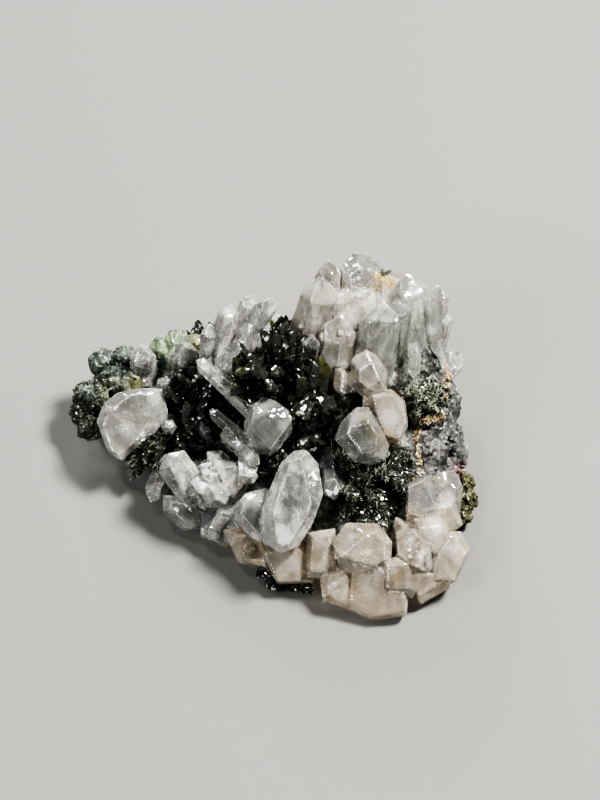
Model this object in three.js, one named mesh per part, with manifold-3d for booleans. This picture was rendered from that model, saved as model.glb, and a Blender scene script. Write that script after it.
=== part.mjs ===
// Epidote with quartz: clear and milky quartz crystals, black-green epidote sprays and green
// chlorite lumps, grown on a piece of altered rock that rests on its flat cut.
// Millimetres, +Z up. The origin is the middle of the footprint, on the cut face.
import * as THREE from "three";
import { ConvexGeometry } from "three/addons/geometries/ConvexGeometry.js";
import { mergeVertices } from "three/addons/utils/BufferGeometryUtils.js";
import Module from "manifold-3d";

const wasm = await Module();
wasm.setup();

// Driving dimensions, in millimetres and degrees
const FACE_TILT = 55; // the crystal face is seen from this height
const MIDDLE_HEIGHT = 9.9; // from the cut face to the middle of the crystal face
const GAP = 0.3; // between a crystal and the socket that holds it
const PYRAMID_SLOPE = 38.2; // quartz: its pyramid faces to the crystal's axis
const PRISM_TAPER = 2; // a prism narrows a little towards its tip
const ROOT_TAPER = 6; // a crystal seen end on narrows towards its root
const BEVEL_SLOPE = [18, 48]; // of the slanted faces round a facing plane
const CHIP_SLOPE = [52, 70]; // of the odd facets that cut their corners
const BLADE_END = 36; // of an epidote blade's slanted end, from square
const CUT_DEPTH = 30; // of the block that trims everything flat underneath
const CUT_REACH = 120;

// Directions and places

const radians = THREE.MathUtils.degToRad;
const sideways = new THREE.Vector3(1, 0, 0);
const upwards = new THREE.Vector3(0, Math.sin(radians(FACE_TILT)), Math.cos(radians(FACE_TILT)));
const nearer = new THREE.Vector3(0, -Math.cos(radians(FACE_TILT)), Math.sin(radians(FACE_TILT)));

// A place on the crystal face, given as it is seen: right, up and towards the eye.
function seen(right, up, near) {
  return new THREE.Vector3(0, 0, MIDDLE_HEIGHT)
    .addScaledVector(sideways, right)
    .addScaledVector(upwards, up)
    .addScaledVector(nearer, near);
}

// A place on the back and the sides, given by its ground plan and its height.
function at(x, y, z) {
  return new THREE.Vector3(x, y, z);
}

// Repeatable random numbers from 0 to 1
function randomFrom(seed) {
  let state = Math.imul(seed, 2654435761);
  return () => {
    state = (state + 0x6d2b79f5) | 0;
    let t = Math.imul(state ^ (state >>> 15), 1 | state);
    t = (t + Math.imul(t ^ (t >>> 7), 61 | t)) ^ t;
    return ((t ^ (t >>> 14)) >>> 0) / 4294967296;
  };
}

const between = ([low, high], random) => low + (high - low) * random();

// Solids

function solidOf(geometry) {
  const bare = geometry.clone();
  bare.deleteAttribute("normal");
  bare.deleteAttribute("uv");
  const merged = mergeVertices(bare, 1e-4);
  return new wasm.Manifold(
    new wasm.Mesh({
      numProp: 3,
      vertProperties: new Float32Array(merged.attributes.position.array),
      triVerts: new Uint32Array(merged.index.array),
    }),
  );
}

function geometryOf(solid) {
  const mesh = solid.getMesh();
  const geometry = new THREE.BufferGeometry();
  geometry.setAttribute("position", new THREE.BufferAttribute(mesh.vertProperties, 3));
  geometry.setIndex(new THREE.BufferAttribute(mesh.triVerts, 1));
  geometry.computeVertexNormals();
  return geometry;
}

function largestBody(solid) {
  return solid.decompose().reduce((a, b) => (b.volume() > a.volume() ? b : a));
}

// A convex solid is written as its faces: the way each one looks and how far out it lies.
function faceThrough(normal, point) {
  return { normal, distance: normal.dot(point) };
}

// The way that out looks once it is tilted towards another, square to it
function tilted(out, towards, degrees) {
  const angle = radians(degrees);
  return out.clone().multiplyScalar(Math.cos(angle)).addScaledVector(towards, Math.sin(angle));
}

// The corners where three faces of a convex solid meet, with every face moved out by grow
function cornersOf(faces, grow = 0) {
  const corners = [];
  const d = faces.map((f) => f.distance + grow);
  for (let i = 0; i < faces.length; i++)
    for (let j = i + 1; j < faces.length; j++)
      for (let k = j + 1; k < faces.length; k++) {
        const jk = faces[j].normal.clone().cross(faces[k].normal);
        const det = faces[i].normal.dot(jk);
        if (Math.abs(det) < 1e-3) continue;
        const p = jk
          .multiplyScalar(d[i])
          .addScaledVector(faces[k].normal.clone().cross(faces[i].normal), d[j])
          .addScaledVector(faces[i].normal.clone().cross(faces[j].normal), d[k])
          .divideScalar(det);
        const inside = faces.every((f, n) => f.normal.dot(p) <= d[n] + 1e-5);
        if (inside && !corners.some((c) => c.distanceTo(p) < 1e-3)) corners.push(p);
      }
  return corners;
}

// The faces of the convex solid round some points
function facesRound(points) {
  const position = new ConvexGeometry(points).attributes.position;
  const faces = [];
  for (let i = 0; i < position.count; i += 3) {
    const [a, b, c] = [0, 1, 2].map((n) => new THREE.Vector3().fromBufferAttribute(position, i + n));
    const normal = b.sub(a).cross(c.sub(a)).normalize();
    const face = faceThrough(normal, a);
    const known = (f) => f.normal.dot(normal) > 0.9999 && Math.abs(f.distance - face.distance) < 0.01;
    if (normal.lengthSq() > 0.5 && !faces.some(known)) faces.push(face);
  }
  return faces;
}

function convex(faces, grow = 0) {
  return solidOf(new ConvexGeometry(cornersOf(faces, grow)));
}

function joined(shapes, grow = 0) {
  return wasm.Manifold.union(shapes.map((faces) => convex(faces, grow)));
}

// Quartz

// A six-sided prism that ends in a six-sided pyramid. The first side looks to the eye, turned
// by turn degrees; flat below 1 brings that side and the opposite one closer.
function quartzPoint({ foot, tip, wide, flat = 1, turn = 0, seed = 1 }) {
  const random = randomFrom(seed);
  const axis = tip.clone().sub(foot).normalize();
  const front = nearer.clone().addScaledVector(axis, -nearer.dot(axis));
  if (front.lengthSq() < 0.05) front.copy(upwards).addScaledVector(axis, -upwards.dot(axis));
  front.normalize().applyAxisAngle(axis, radians(turn));
  const faces = [faceThrough(axis.clone().negate(), foot)];
  for (let side = 0; side < 6; side++) {
    const out = front.clone().applyAxisAngle(axis, (side * Math.PI) / 3);
    const reach = (wide / 2) * (side % 3 ? 1 : flat) * (0.88 + 0.2 * random());
    faces.push(faceThrough(tilted(out, axis, PRISM_TAPER), foot.clone().addScaledVector(out, reach)));
    const pyramid = faceThrough(tilted(out, axis, PYRAMID_SLOPE), tip);
    if (side % 2) pyramid.distance += wide * (0.04 + 0.14 * random()); // every other one is smaller
    faces.push(pyramid);
  }
  return faces;
}

// A crystal seen from its end or its broad side: rim is its outline as seen, front the height
// of its facing plane, which leans by lean mm per mm, and back the depth of its root. Each
// side has a bevel of its own, about step deep, and chips are odd facets on the corners.
function quartzFace({ rim, front, back, lean = [0, 0], step = 1, chips = 2, seed = 1 }) {
  const random = randomFrom(seed);
  const centre = rim.reduce(([x, y], [u, v]) => [x + u / rim.length, y + v / rim.length], [0, 0]);
  const middle = seen(...centre, front);
  const facing = nearer
    .clone()
    .addScaledVector(sideways, -lean[0])
    .addScaledVector(upwards, -lean[1])
    .normalize();
  const faces = [
    faceThrough(facing, middle),
    faceThrough(nearer.clone().negate(), seen(...centre, back)),
  ];
  rim.forEach(([right, up], n) => {
    const [nextRight, nextUp] = rim[(n + 1) % rim.length];
    const half = [(right + nextRight) / 2, (up + nextUp) / 2];
    const leaned = lean[0] * (half[0] - centre[0]) + lean[1] * (half[1] - centre[1]);
    const edge = seen(...half, front + leaned - step * between([0.6, 1.4], random));
    const out = sideways.clone().multiplyScalar(nextUp - up).addScaledVector(upwards, right - nextRight);
    if (out.dot(edge.clone().sub(middle)) < 0) out.negate();
    out.normalize();
    faces.push(faceThrough(tilted(out, nearer, between(BEVEL_SLOPE, random)), edge));
    faces.push(faceThrough(tilted(out, nearer, -ROOT_TAPER), edge));
  });
  const reach = Math.max(...rim.map(([u, v]) => Math.hypot(u - centre[0], v - centre[1])));
  for (let chip = 0; chip < chips; chip++) {
    const round = (2 * Math.PI * (chip + random())) / chips;
    const out = tilted(sideways, upwards, THREE.MathUtils.radToDeg(round));
    const place = middle.clone().addScaledVector(out, reach * between([0.3, 0.55], random));
    faces.push(faceThrough(tilted(out, nearer, between(CHIP_SLOPE, random)), place));
  }
  return faces;
}

// Epidote

// A flat blade that ends in one slanted face
function blade({ foot, tip, wide, thick = wide / 2, turn = 0 }) {
  const axis = tip.clone().sub(foot).normalize();
  const across = at(0.3, 0.5, 0.8).cross(axis).normalize().applyAxisAngle(axis, turn);
  const through = axis.clone().cross(across);
  const side = (out, reach) => faceThrough(out, foot.clone().addScaledVector(out, reach));
  return [
    faceThrough(axis.clone().negate(), foot),
    faceThrough(tilted(axis, across, BLADE_END), tip),
    side(across, wide / 2),
    side(across.clone().negate(), wide / 2),
    side(through, thick / 2),
    side(through.clone().negate(), thick / 2),
  ];
}

// Blades that fan out from one root: open is the half angle of the fan in degrees.
function fan({ root, towards, open, count, long, wide, seed }) {
  const random = randomFrom(seed);
  const axis = towards.clone().sub(root).normalize();
  const side = at(0.7, 0.2, -0.4).cross(axis).normalize();
  return Array.from({ length: count }, (_, n) => {
    const away = radians(open) * Math.sqrt((n + 0.3) / count);
    const round = n * 2.4 + 0.6 * random();
    const way = axis.clone().applyAxisAngle(side.clone().applyAxisAngle(axis, round), away);
    const tip = root.clone().addScaledVector(way, long * (0.75 + 0.4 * random()));
    return blade({ foot: root, tip, wide: wide * (0.8 + 0.5 * random()), turn: 6.3 * random() });
  });
}

// Short thick crystals that mat a spray's root, in a list of right, up, near and size, as seen
function stubs(list, seed) {
  const random = randomFrom(seed);
  return list.map(([right, up, near, size]) => {
    const way = at(random() - 0.5, random() - 0.5, random() - 0.5).add(nearer).normalize();
    const centre = seen(right, up, near);
    return blade({
      foot: centre.clone().addScaledVector(way, -size),
      tip: centre.clone().addScaledVector(way, size),
      wide: 2.1 * size,
      thick: 1.6 * size,
      turn: 6.3 * random(),
    });
  });
}

// Lumps: chlorite, and knobs of rock

// A knobbly round lump
function lump({ centre, radius, seed }) {
  const random = randomFrom(seed);
  const ball = new THREE.IcosahedronGeometry(radius, 0);
  ball.deleteAttribute("normal");
  ball.deleteAttribute("uv");
  const corners = mergeVertices(ball, 1e-3).attributes.position;
  return facesRound(
    Array.from({ length: corners.count }, (_, n) =>
      new THREE.Vector3()
        .fromBufferAttribute(corners, n)
        .multiplyScalar(0.95 + 0.3 * random())
        .add(centre),
    ),
  );
}

// Lumps in a list of right, up, near and radius, as seen
function lumps(list, seed) {
  return list.map(([right, up, near, radius], n) =>
    lump({ centre: seen(right, up, near), radius, seed: seed + n }),
  );
}

// Quartz of the crystal face, front first

const frontPair = [
  quartzFace({
    rim: [
      [-0.6, -5.1], [0.5, -5], [1.7, -6.2], [2.2, -9.3], [1.2, -12.1], [-0.2, -14.4],
      [-2, -15], [-3.5, -14], [-3.9, -12.1], [-3.3, -9.7], [-1.8, -6.2],
    ],
    front: 6.9, back: 1, lean: [-0.12, 0.04], step: 1.2, chips: 3, seed: 1,
  }),
  quartzFace({
    rim: [
      [-5.3, -9.3], [-3.4, -8.8], [-1.8, -10], [-2, -14.6],
      [-3.4, -14.3], [-5, -13.4], [-6.4, -11.7], [-6.2, -10.4],
    ],
    front: 5, back: 0.2, lean: [0.12, 0.1], step: 1, chips: 1, seed: 2,
  }),
];

const greyKnob = [
  quartzFace({
    rim: [
      [5.6, -0.8], [6.7, -0.8], [7.6, -2.2], [8.7, -4.4], [8.4, -5.8], [7.2, -6.3],
      [5.4, -6], [3.5, -3.8], [4.1, -2.2],
    ],
    front: 7, back: 1.6, lean: [0.1, 0.1], step: 1.3, chips: 2, seed: 3,
  }),
];

const beigeFront = [
  quartzFace({
    rim: [[5.2, 4], [6.6, 4.9], [7.7, 4.2], [8.5, 2.7], [8.3, 0.9], [6.2, 0.4], [5, 1.6]],
    front: 6.4, back: 1.4, lean: [0.05, -0.1], step: 1.1, chips: 1, seed: 4,
  }),
  quartzFace({
    rim: [[6.3, 1], [9, 1], [10.3, -0.2], [10.6, -2.6], [9.6, -4.6], [7.4, -4.4], [6.2, -1.6]],
    front: 5.6, back: 0.6, lean: [-0.1, 0.12], step: 0.9, chips: 1, seed: 5,
  }),
  quartzFace({
    rim: [[3.5, 3.1], [5.4, 2.6], [5.6, 0.9], [4.4, 0.3], [3.4, 1.2]],
    front: 4.6, back: 0.8, lean: [0.1, 0], step: 0.6, chips: 0, seed: 6,
  }),
];

const centreGroup = [
  quartzFace({
    rim: [
      [-5, -0.6], [-3.6, 0.2], [-2, -0.4], [-0.5, -1.7], [-1, -3.3],
      [-2.2, -4.9], [-3, -5.5], [-4.5, -5.1], [-5.5, -2.6],
    ],
    front: 4.8, back: 0.2, lean: [-0.1, 0.12], step: 0.9, chips: 2, seed: 7,
  }),
  quartzPoint({
    foot: seen(-4.6, -1.2, 2.2), tip: seen(-10.2, 3.9, 1.2), wide: 1.7, turn: 20, seed: 8,
  }),
  quartzPoint({ foot: seen(-7.1, -3.4, 0.4), tip: seen(-4.1, -6.3, 3.6), wide: 1.7, turn: 8, seed: 9 }),
  quartzPoint({ foot: seen(-5, -4.4, 0.4), tip: seen(-9, -1, 0.6), wide: 1.3, turn: 30, seed: 10 }),
];

const shadowPoint = [
  quartzPoint({ foot: seen(2.8, -4.2, 0.4), tip: seen(3.4, -9.8, 4.4), wide: 2.6, turn: 10, seed: 11 }),
];

const lowerLeft = [
  quartzFace({
    rim: [
      [-13.5, -5.5], [-11.6, -5.1], [-9.9, -7.4], [-9.5, -10.3],
      [-11, -10.6], [-12.5, -9.4], [-14, -7.2],
    ],
    front: 1.9, back: -3.4, lean: [0.05, 0.12], step: 1, chips: 2, seed: 12,
  }),
  quartzFace({
    rim: [[-10.2, -6.6], [-7.8, -6], [-4.6, -6.5], [-5.4, -9], [-6.8, -10.5], [-9.2, -10.6]],
    front: 2.2, back: -3, lean: [0.06, 0.14], step: 0.9, chips: 2, seed: 13,
  }),
  quartzPoint({
    foot: seen(-8.7, -9.6, -2.4), tip: seen(-8.9, -7.4, 3.2), wide: 2.1, turn: 40, seed: 14,
  }),
  quartzPoint({ foot: seen(-8, -8.4, -0.6), tip: seen(-4.2, -6, 3), wide: 1.9, turn: 5, seed: 15 }),
  quartzPoint({ foot: seen(-6.2, -8.8, -1), tip: seen(-9, -13.9, 0.8), wide: 2.1, turn: 0, seed: 17 }),
  quartzFace({
    rim: [[-13.6, -9.6], [-9.8, -9.8], [-9.4, -12.8], [-11.6, -13], [-13.6, -11.4]],
    front: 0.2, back: -3.6, lean: [0.1, 0.2], step: 0.7, chips: 0, seed: 18,
  }),
  quartzFace({
    rim: [[-10.2, -11], [-6.6, -11], [-5.6, -13.4], [-7.2, -14.8], [-9.8, -13.6]],
    front: 0.6, back: -1.9, lean: [0, 0.2], step: 0.6, chips: 0, seed: 19,
  }),
];

const frontCrust = [
  quartzFace({
    rim: [[3.3, -14], [4.5, -12.2], [7.7, -12.3], [9, -14], [8.9, -15.8], [7.2, -17.3], [4, -16.8]],
    front: 6.6, back: 1.4, lean: [-0.08, 0.05], step: 1.1, chips: 2, seed: 20,
  }),
  quartzFace({
    rim: [[4.9, -16.6], [8.6, -16], [10.8, -17.6], [10.4, -21.3], [7.2, -21.7], [4.9, -20.6]],
    front: 5.2, back: 0.4, lean: [0.05, 0.2], step: 0.8, chips: 0, seed: 21,
  }),
  quartzFace({
    rim: [[2, -17], [5, -16.2], [5.6, -18.3], [5.1, -20.8], [2.4, -19.8]],
    front: 4.9, back: 0.4, lean: [-0.1, 0.2], step: 0.7, chips: 0, seed: 22,
  }),
  quartzFace({
    rim: [[8.1, -15.9], [10.3, -15.4], [12, -17], [11.2, -19.5], [8.4, -19.2]],
    front: 6, back: 0.8, lean: [0.15, 0.2], step: 0.8, chips: 1, seed: 23,
  }),
  quartzFace({
    rim: [[0.8, -13.2], [3.4, -12.8], [3.7, -17.7], [0.8, -17.5]],
    front: 5, back: 0.6, lean: [0, 0.12], step: 0.6, chips: 0, seed: 24,
  }),
  quartzFace({
    rim: [[-3.9, -14.8], [-1.2, -14.2], [1.3, -15], [1.3, -18.1], [-2.2, -18.2]],
    front: 3.8, back: 0, lean: [0.05, 0.15], step: 0.8, chips: 1, seed: 26,
  }),
  quartzFace({
    rim: [[-7.6, -13], [-5.2, -12.8], [-3.2, -14], [-3.2, -16.8], [-6, -16.2]],
    front: 2.3, back: -1, lean: [0.12, 0.2], step: 0.7, chips: 1, seed: 27,
  }),
  quartzPoint({
    foot: seen(11.2, -12.6, 0), tip: seen(11.6, -16.4, 6.8), wide: 4.2, turn: 24, seed: 28,
  }),
  quartzFace({
    rim: [[11.4, -11.8], [14.4, -11.8], [14.8, -13.6], [13.4, -15.4], [11.4, -14.6]],
    front: 5.4, back: 0.2, lean: [-0.12, -0.1], step: 0.7, chips: 0, seed: 29,
  }),
  quartzFace({
    rim: [[12.9, -13.4], [15.8, -13], [16.8, -14.8], [15.4, -18], [12.9, -18.4]],
    front: 4.8, back: 0, lean: [-0.34, 0.1], step: 0.8, chips: 1, seed: 30,
  }),
  quartzFace({
    rim: [[10.6, -17], [13.6, -16.8], [14.8, -18.5], [12, -20.2]],
    front: 4.6, back: 0.8, lean: [-0.1, 0.2], step: 0.7, chips: 0, seed: 32,
  }),
  quartzFace({
    rim: [[10.6, -8.2], [12.8, -7.6], [13.6, -10], [13, -12.6], [10.6, -12.8]],
    front: 4, back: -0.4, lean: [-0.3, 0], step: 0.8, chips: 1, seed: 33,
  }),
  quartzFace({
    rim: [[12.8, -7.6], [15.2, -7], [16.2, -8.6], [15.9, -11], [13, -11.2]],
    front: 2.6, back: -1.6, lean: [-0.5, 0.1], step: 0.8, chips: 1, seed: 34,
  }),
  quartzFace({
    rim: [[12.2, -10.4], [15.4, -10.3], [16.1, -12.4], [14.6, -13.6], [12.2, -13.2]],
    front: 3.6, back: -0.6, lean: [-0.3, 0.05], step: 0.7, chips: 0, seed: 35,
  }),
];

const crown = [
  quartzPoint({ foot: seen(-0.2, 3.4, -0.6), tip: seen(2.3, 12, 5.6), wide: 4, turn: 26, seed: 36 }),
  quartzPoint({ foot: seen(3.2, 7, -0.6), tip: seen(2.8, 13.8, 3), wide: 2.9, turn: 12, seed: 37 }),
  quartzFace({
    rim: [[4.2, 13.5], [5.6, 14.5], [7, 14.2], [8.1, 13], [8.3, 11], [6.5, 9.2], [4.4, 10.4]],
    front: 4.2, back: -1, lean: [0.1, -0.1], step: 1, chips: 2, seed: 38,
  }),
  quartzFace({
    rim: [[2.4, 9.4], [4.6, 11.2], [8, 10.8], [9, 8.6], [6.6, 6.2], [3.4, 6]],
    front: 4, back: 0, lean: [0.1, 0.25], step: 0.8, chips: 1, seed: 39,
  }),
  quartzFace({
    rim: [[7.4, 11.8], [9, 12.9], [10.6, 12.4], [11.4, 10.6], [10.4, 8.6], [7.6, 8.8]],
    front: 3.8, back: -0.5, lean: [-0.1, 0.1], step: 0.9, chips: 1, seed: 40,
  }),
  quartzPoint({ foot: seen(2.9, 1.4, 0.4), tip: seen(4.1, 8.3, 5.4), wide: 3.5, turn: -8, seed: 41 }),
];

const rightPoints = [
  quartzPoint({
    foot: seen(7.2, 1, 1), tip: seen(8.2, 9.7, 5.4), wide: 4.2, flat: 0.75, turn: 10, seed: 42,
  }),
  quartzPoint({ foot: seen(9.4, 2.6, 0.4), tip: seen(9.8, 10, 4.8), wide: 2.8, turn: -12, seed: 43 }),
  quartzPoint({
    foot: seen(11.2, 2.4, -0.4), tip: seen(10.5, 12.5, 4.4), wide: 4.2, flat: 0.8, turn: 14, seed: 44,
  }),
  quartzPoint({
    foot: seen(12.6, 2.6, -0.8), tip: seen(11.9, 11.8, 3.6), wide: 3.3, turn: -10, seed: 45,
  }),
  quartzPoint({ foot: seen(11.2, 6, 1.8), tip: seen(11.2, 2.3, 4.9), wide: 1.5, turn: 0, seed: 46 }),
];

const rightPair = [
  quartzPoint({ foot: seen(13, 6, -2.8), tip: seen(13.7, 11.4, 1.2), wide: 2.6, turn: 0, seed: 47 }),
  quartzPoint({ foot: seen(13.4, 4.2, -3), tip: seen(14.6, 8.9, -0.6), wide: 1.9, turn: 15, seed: 48 }),
];

const leftFan = [
  quartzPoint({ foot: seen(-7.4, 2, -1), tip: seen(-2.8, 10.1, 3.2), wide: 2.5, turn: 18, seed: 49 }),
  quartzPoint({ foot: seen(-8.2, 2.6, -1.6), tip: seen(-6.9, 9.5, 1.6), wide: 2, turn: 6, seed: 50 }),
  quartzPoint({ foot: seen(-6.8, 5, -2.4), tip: seen(-4.8, 10.4, 0.8), wide: 1.9, turn: 0, seed: 51 }),
  quartzPoint({ foot: seen(-9.2, 2.4, -1.8), tip: seen(-9, 7.5, 0.6), wide: 1.9, turn: 22, seed: 52 }),
  quartzPoint({
    foot: seen(-5.6, 2.8, -0.4), tip: seen(-3.2, 7.8, 2.4), wide: 1.5, turn: 15, seed: 53,
  }),
];

const leftPlate = [
  quartzFace({
    rim: [
      [-18.4, 0.6], [-16.2, 1.1], [-13.8, 1], [-13.3, -1.7], [-14.6, -3.2],
      [-18, -6], [-19.3, -5], [-20.4, -2.2], [-19.8, -0.6],
    ],
    front: -1.2, back: -5.4, lean: [0.08, 0.06], step: 0.9, chips: 2, seed: 54,
  }),
];

const smallPoints = {
  quartz_bead_by_spray: {
    foot: seen(0.5, 3, 1.4), tip: seen(1.2, 6.2, 5.6), wide: 1.9, turn: 10, seed: 61,
  },
  quartz_bead_left: {
    foot: seen(-13.2, -2.4, -4.4), tip: seen(-13.1, -2.8, -0.2), wide: 1.5, turn: 0, seed: 62,
  },
  quartz_chip_left: {
    foot: seen(-13.5, 0.8, -5.6), tip: seen(-13.5, 1.6, -1.2), wide: 1.8, turn: 20, seed: 63,
  },
  quartz_pyramid_left: {
    foot: seen(-11.4, 2.4, -5.8), tip: seen(-11.5, 5.3, -1.2), wide: 2.8, turn: 15, seed: 64,
  },
  quartz_sparkle_left: {
    foot: seen(-15.8, 2.2, -6.6), tip: seen(-15.9, 5.2, -2.9), wide: 2.3, turn: 0, seed: 65,
  },
  quartz_hollow_middle: {
    foot: seen(-9, -4.6, -3.6), tip: seen(-9.7, -2.4, 0), wide: 1.3, turn: 10, seed: 66,
  },
  quartz_hollow_left: {
    foot: seen(-10.8, -4.2, -4), tip: seen(-11, -2, -1), wide: 1.1, turn: 20, seed: 67,
  },
  quartz_dim_foot: {
    foot: seen(-13.8, -7.4, -4), tip: seen(-15, -10.2, -2.4), wide: 1.9, turn: 0, seed: 68,
  },
};

// Quartz of the back and the sides, which stands round the peak and leans away from it

const backPoints = {
  quartz_back_peak: { foot: at(5.5, 6.4, 9), tip: at(7.3, 12.4, 15), wide: 3.4, turn: 0, seed: 71 },
  quartz_back_shoulder: {
    foot: at(10.5, 6.6, 8), tip: at(12.8, 11.8, 12.2), wide: 2.8, turn: 20, seed: 72,
  },
  quartz_back_middle: {
    foot: at(0.4, 7.4, 3.6), tip: at(-0.4, 12.8, 5.2), wide: 3, turn: 10, seed: 73,
  },
  quartz_back_left: { foot: at(-5, 7.4, 4), tip: at(-6, 12.6, 6.6), wide: 2.4, turn: 0, seed: 74 },
  quartz_back_low: { foot: at(8, 8.6, 3.5), tip: at(9.4, 14.4, 5.6), wide: 3, turn: 30, seed: 75 },
  quartz_back_foot: { foot: at(4.4, 9.4, 6), tip: at(4.2, 13.8, 8.4), wide: 2.2, turn: 15, seed: 76 },
  quartz_side_low: { foot: at(12.8, 6, 3), tip: at(16.4, 9.4, 5), wide: 2.5, turn: 20, seed: 78 },
  quartz_wing_back: {
    foot: at(-12.6, 6.6, 3), tip: at(-13.4, 11.4, 4.6), wide: 2.2, turn: 10, seed: 79,
  },
};

// Epidote of the crystal face and the back

const sprays = {
  epidote_centre_spray: [
    ...stubs([[-1.4, 4.6, 1.6, 1.1], [-3, 2.2, 1.4, 1.7], [0.2, 2, 2, 1.8]], 81),
    ...fan({
      root: seen(-1.4, 4.6, 1), towards: seen(-1.3, 7, 3),
      open: 42, count: 4, long: 3.4, wide: 1.2, seed: 82,
    }),
    ...fan({
      root: seen(-3.4, 2, 0.8), towards: seen(-4.6, 2.4, 4),
      open: 56, count: 5, long: 4, wide: 1.4, seed: 83,
    }),
    ...fan({
      root: seen(0.6, 1.8, 1.2), towards: seen(1.6, 1.2, 4.6),
      open: 58, count: 6, long: 4.1, wide: 1.4, seed: 84,
    }),
  ],
  epidote_hollow_spray: [
    ...stubs(
      [[-11.4, 0.8, -4, 1.5], [-8.8, 0.4, -3, 1.5], [-10.2, -2, -3.4, 1.7], [-11.2, -3.6, -3.6, 1.4]],
      91,
    ),
    ...fan({
      root: seen(-11.6, 1, -4.4), towards: seen(-11.6, 0.8, 0),
      open: 52, count: 4, long: 3.4, wide: 1.2, seed: 92,
    }),
    ...fan({
      root: seen(-8.4, 0.4, -3.2), towards: seen(-8, 0.2, 1),
      open: 54, count: 4, long: 3.7, wide: 1.2, seed: 93,
    }),
    ...fan({
      root: seen(-11, -3.4, -4.2), towards: seen(-11.2, -4, 0),
      open: 44, count: 2, long: 2.8, wide: 1, seed: 94,
    }),
  ],
  epidote_middle_spray: [
    ...stubs([[1.4, -1.2, 2, 1.5], [3.8, -0.6, 2.2, 1.2], [1, -3.4, 1.6, 1.2]], 101),
    ...fan({
      root: seen(1.8, -1.4, 0.8), towards: seen(2, -0.9, 5),
      open: 60, count: 6, long: 3.9, wide: 1.3, seed: 102,
    }),
  ],
  epidote_right_mat: [
    ...stubs(
      [[5, -5.8, 2, 1.3], [6.6, -8, 2.2, 1.6], [9.2, -6.8, 2.6, 1.6], [7.6, -10.2, 2.3, 1.6]],
      111,
    ),
    ...fan({
      root: seen(6, -9, 1.6), towards: seen(6, -9, 5),
      open: 56, count: 4, long: 3.6, wide: 1.2, seed: 112,
    }),
    ...fan({
      root: seen(9, -7.4, 1.6), towards: seen(9.2, -7.4, 5),
      open: 56, count: 4, long: 3.6, wide: 1.2, seed: 113,
    }),
  ],
  epidote_lower_tuft: [
    ...stubs([[-15.4, -4.8, -4, 1.3], [-16.8, -4.8, -4.4, 1]], 121),
    ...fan({
      root: seen(-15.4, -4.8, -4.8), towards: seen(-15.8, -6.4, -1.6),
      open: 56, count: 5, long: 3, wide: 1, seed: 122,
    }),
  ],
  epidote_small_spray: [
    ...stubs([[-2.4, -6.2, 1.2, 1.1]], 131),
    ...fan({
      root: seen(-2.4, -6.2, 0.6), towards: seen(-2.8, -6, 4),
      open: 44, count: 4, long: 2.7, wide: 0.8, seed: 132,
    }),
  ],
  epidote_right_patch: [
    ...stubs([[10.8, 1.6, 2.4, 1.2], [12.6, 0.8, 2.2, 1.3], [11.4, -0.6, 2.2, 1.1]], 141),
    ...fan({
      root: seen(11.6, 1, 1.8), towards: seen(12, 1, 5),
      open: 56, count: 5, long: 2.8, wide: 0.9, seed: 142,
    }),
  ],
  epidote_back_high: fan({
    root: at(3, 7.8, 9.8), towards: at(3, 11, 11.4), open: 36, count: 4, long: 4, wide: 2, seed: 152,
  }),
  epidote_back_wing: fan({
    root: at(-9.4, 7.6, 4.6), towards: at(-9.6, 11, 6.4),
    open: 36, count: 4, long: 3.6, wide: 2, seed: 162,
  }),
};

// The dark leaf under the front crust
const bottomLeaf = [
  blade({ foot: seen(1.1, -18.5, 1.9), tip: seen(-3.4, -18.3, 1.9), wide: 1.3, thick: 0.7, turn: 0.9 }),
  blade({ foot: seen(-2.2, -18.3, 1.8), tip: seen(-4.4, -16.7, 1.4), wide: 1, thick: 0.6, turn: 0.9 }),
  blade({ foot: seen(-0.6, -17.8, 1.4), tip: seen(1.4, -19.3, 2.4), wide: 1, thick: 0.6, turn: 0.9 }),
];

// Chlorite

const chlorites = {
  chlorite_left_edge: lumps(
    [[-21.6, 0.4, -7, 1.5], [-22, -1.4, -6.8, 1.4], [-21.3, -3, -5.8, 1.2], [-20.6, 0.4, -5.6, 1.4]],
    171,
  ),
  chlorite_upper_left: lumps(
    [[-20.1, 3.7, -7.2, 1.5], [-17.8, 4, -6.8, 1.6], [-19, 2, -6, 1.6], [-17, 2, -5.2, 1.4]],
    181,
  ),
  chlorite_pale_lumps: lumps(
    [[-14.2, 4.9, -6.6, 1.5], [-12.4, 5.8, -6.2, 1.5], [-12.6, 4, -5.2, 1.3], [-10.5, 5.4, -5.4, 1.3]],
    191,
  ),
  chlorite_right_edge: lumps(
    [[16.5, -8.4, -3.4, 1.1], [16.8, -10, -2.8, 1], [16.3, -11.5, -2.2, 1]],
    201,
  ),
  chlorite_back_lumps: [
    { centre: at(-18, 8.6, 3), radius: 1.8, seed: 211 },
    { centre: at(-19.8, 7, 2.4), radius: 1.7, seed: 212 },
    { centre: at(-16, 9.6, 2.2), radius: 1.5, seed: 213 },
  ].map(lump),
};

// The rock, as broken blocks from their corners in ground plan and height, and knobs on them

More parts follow.
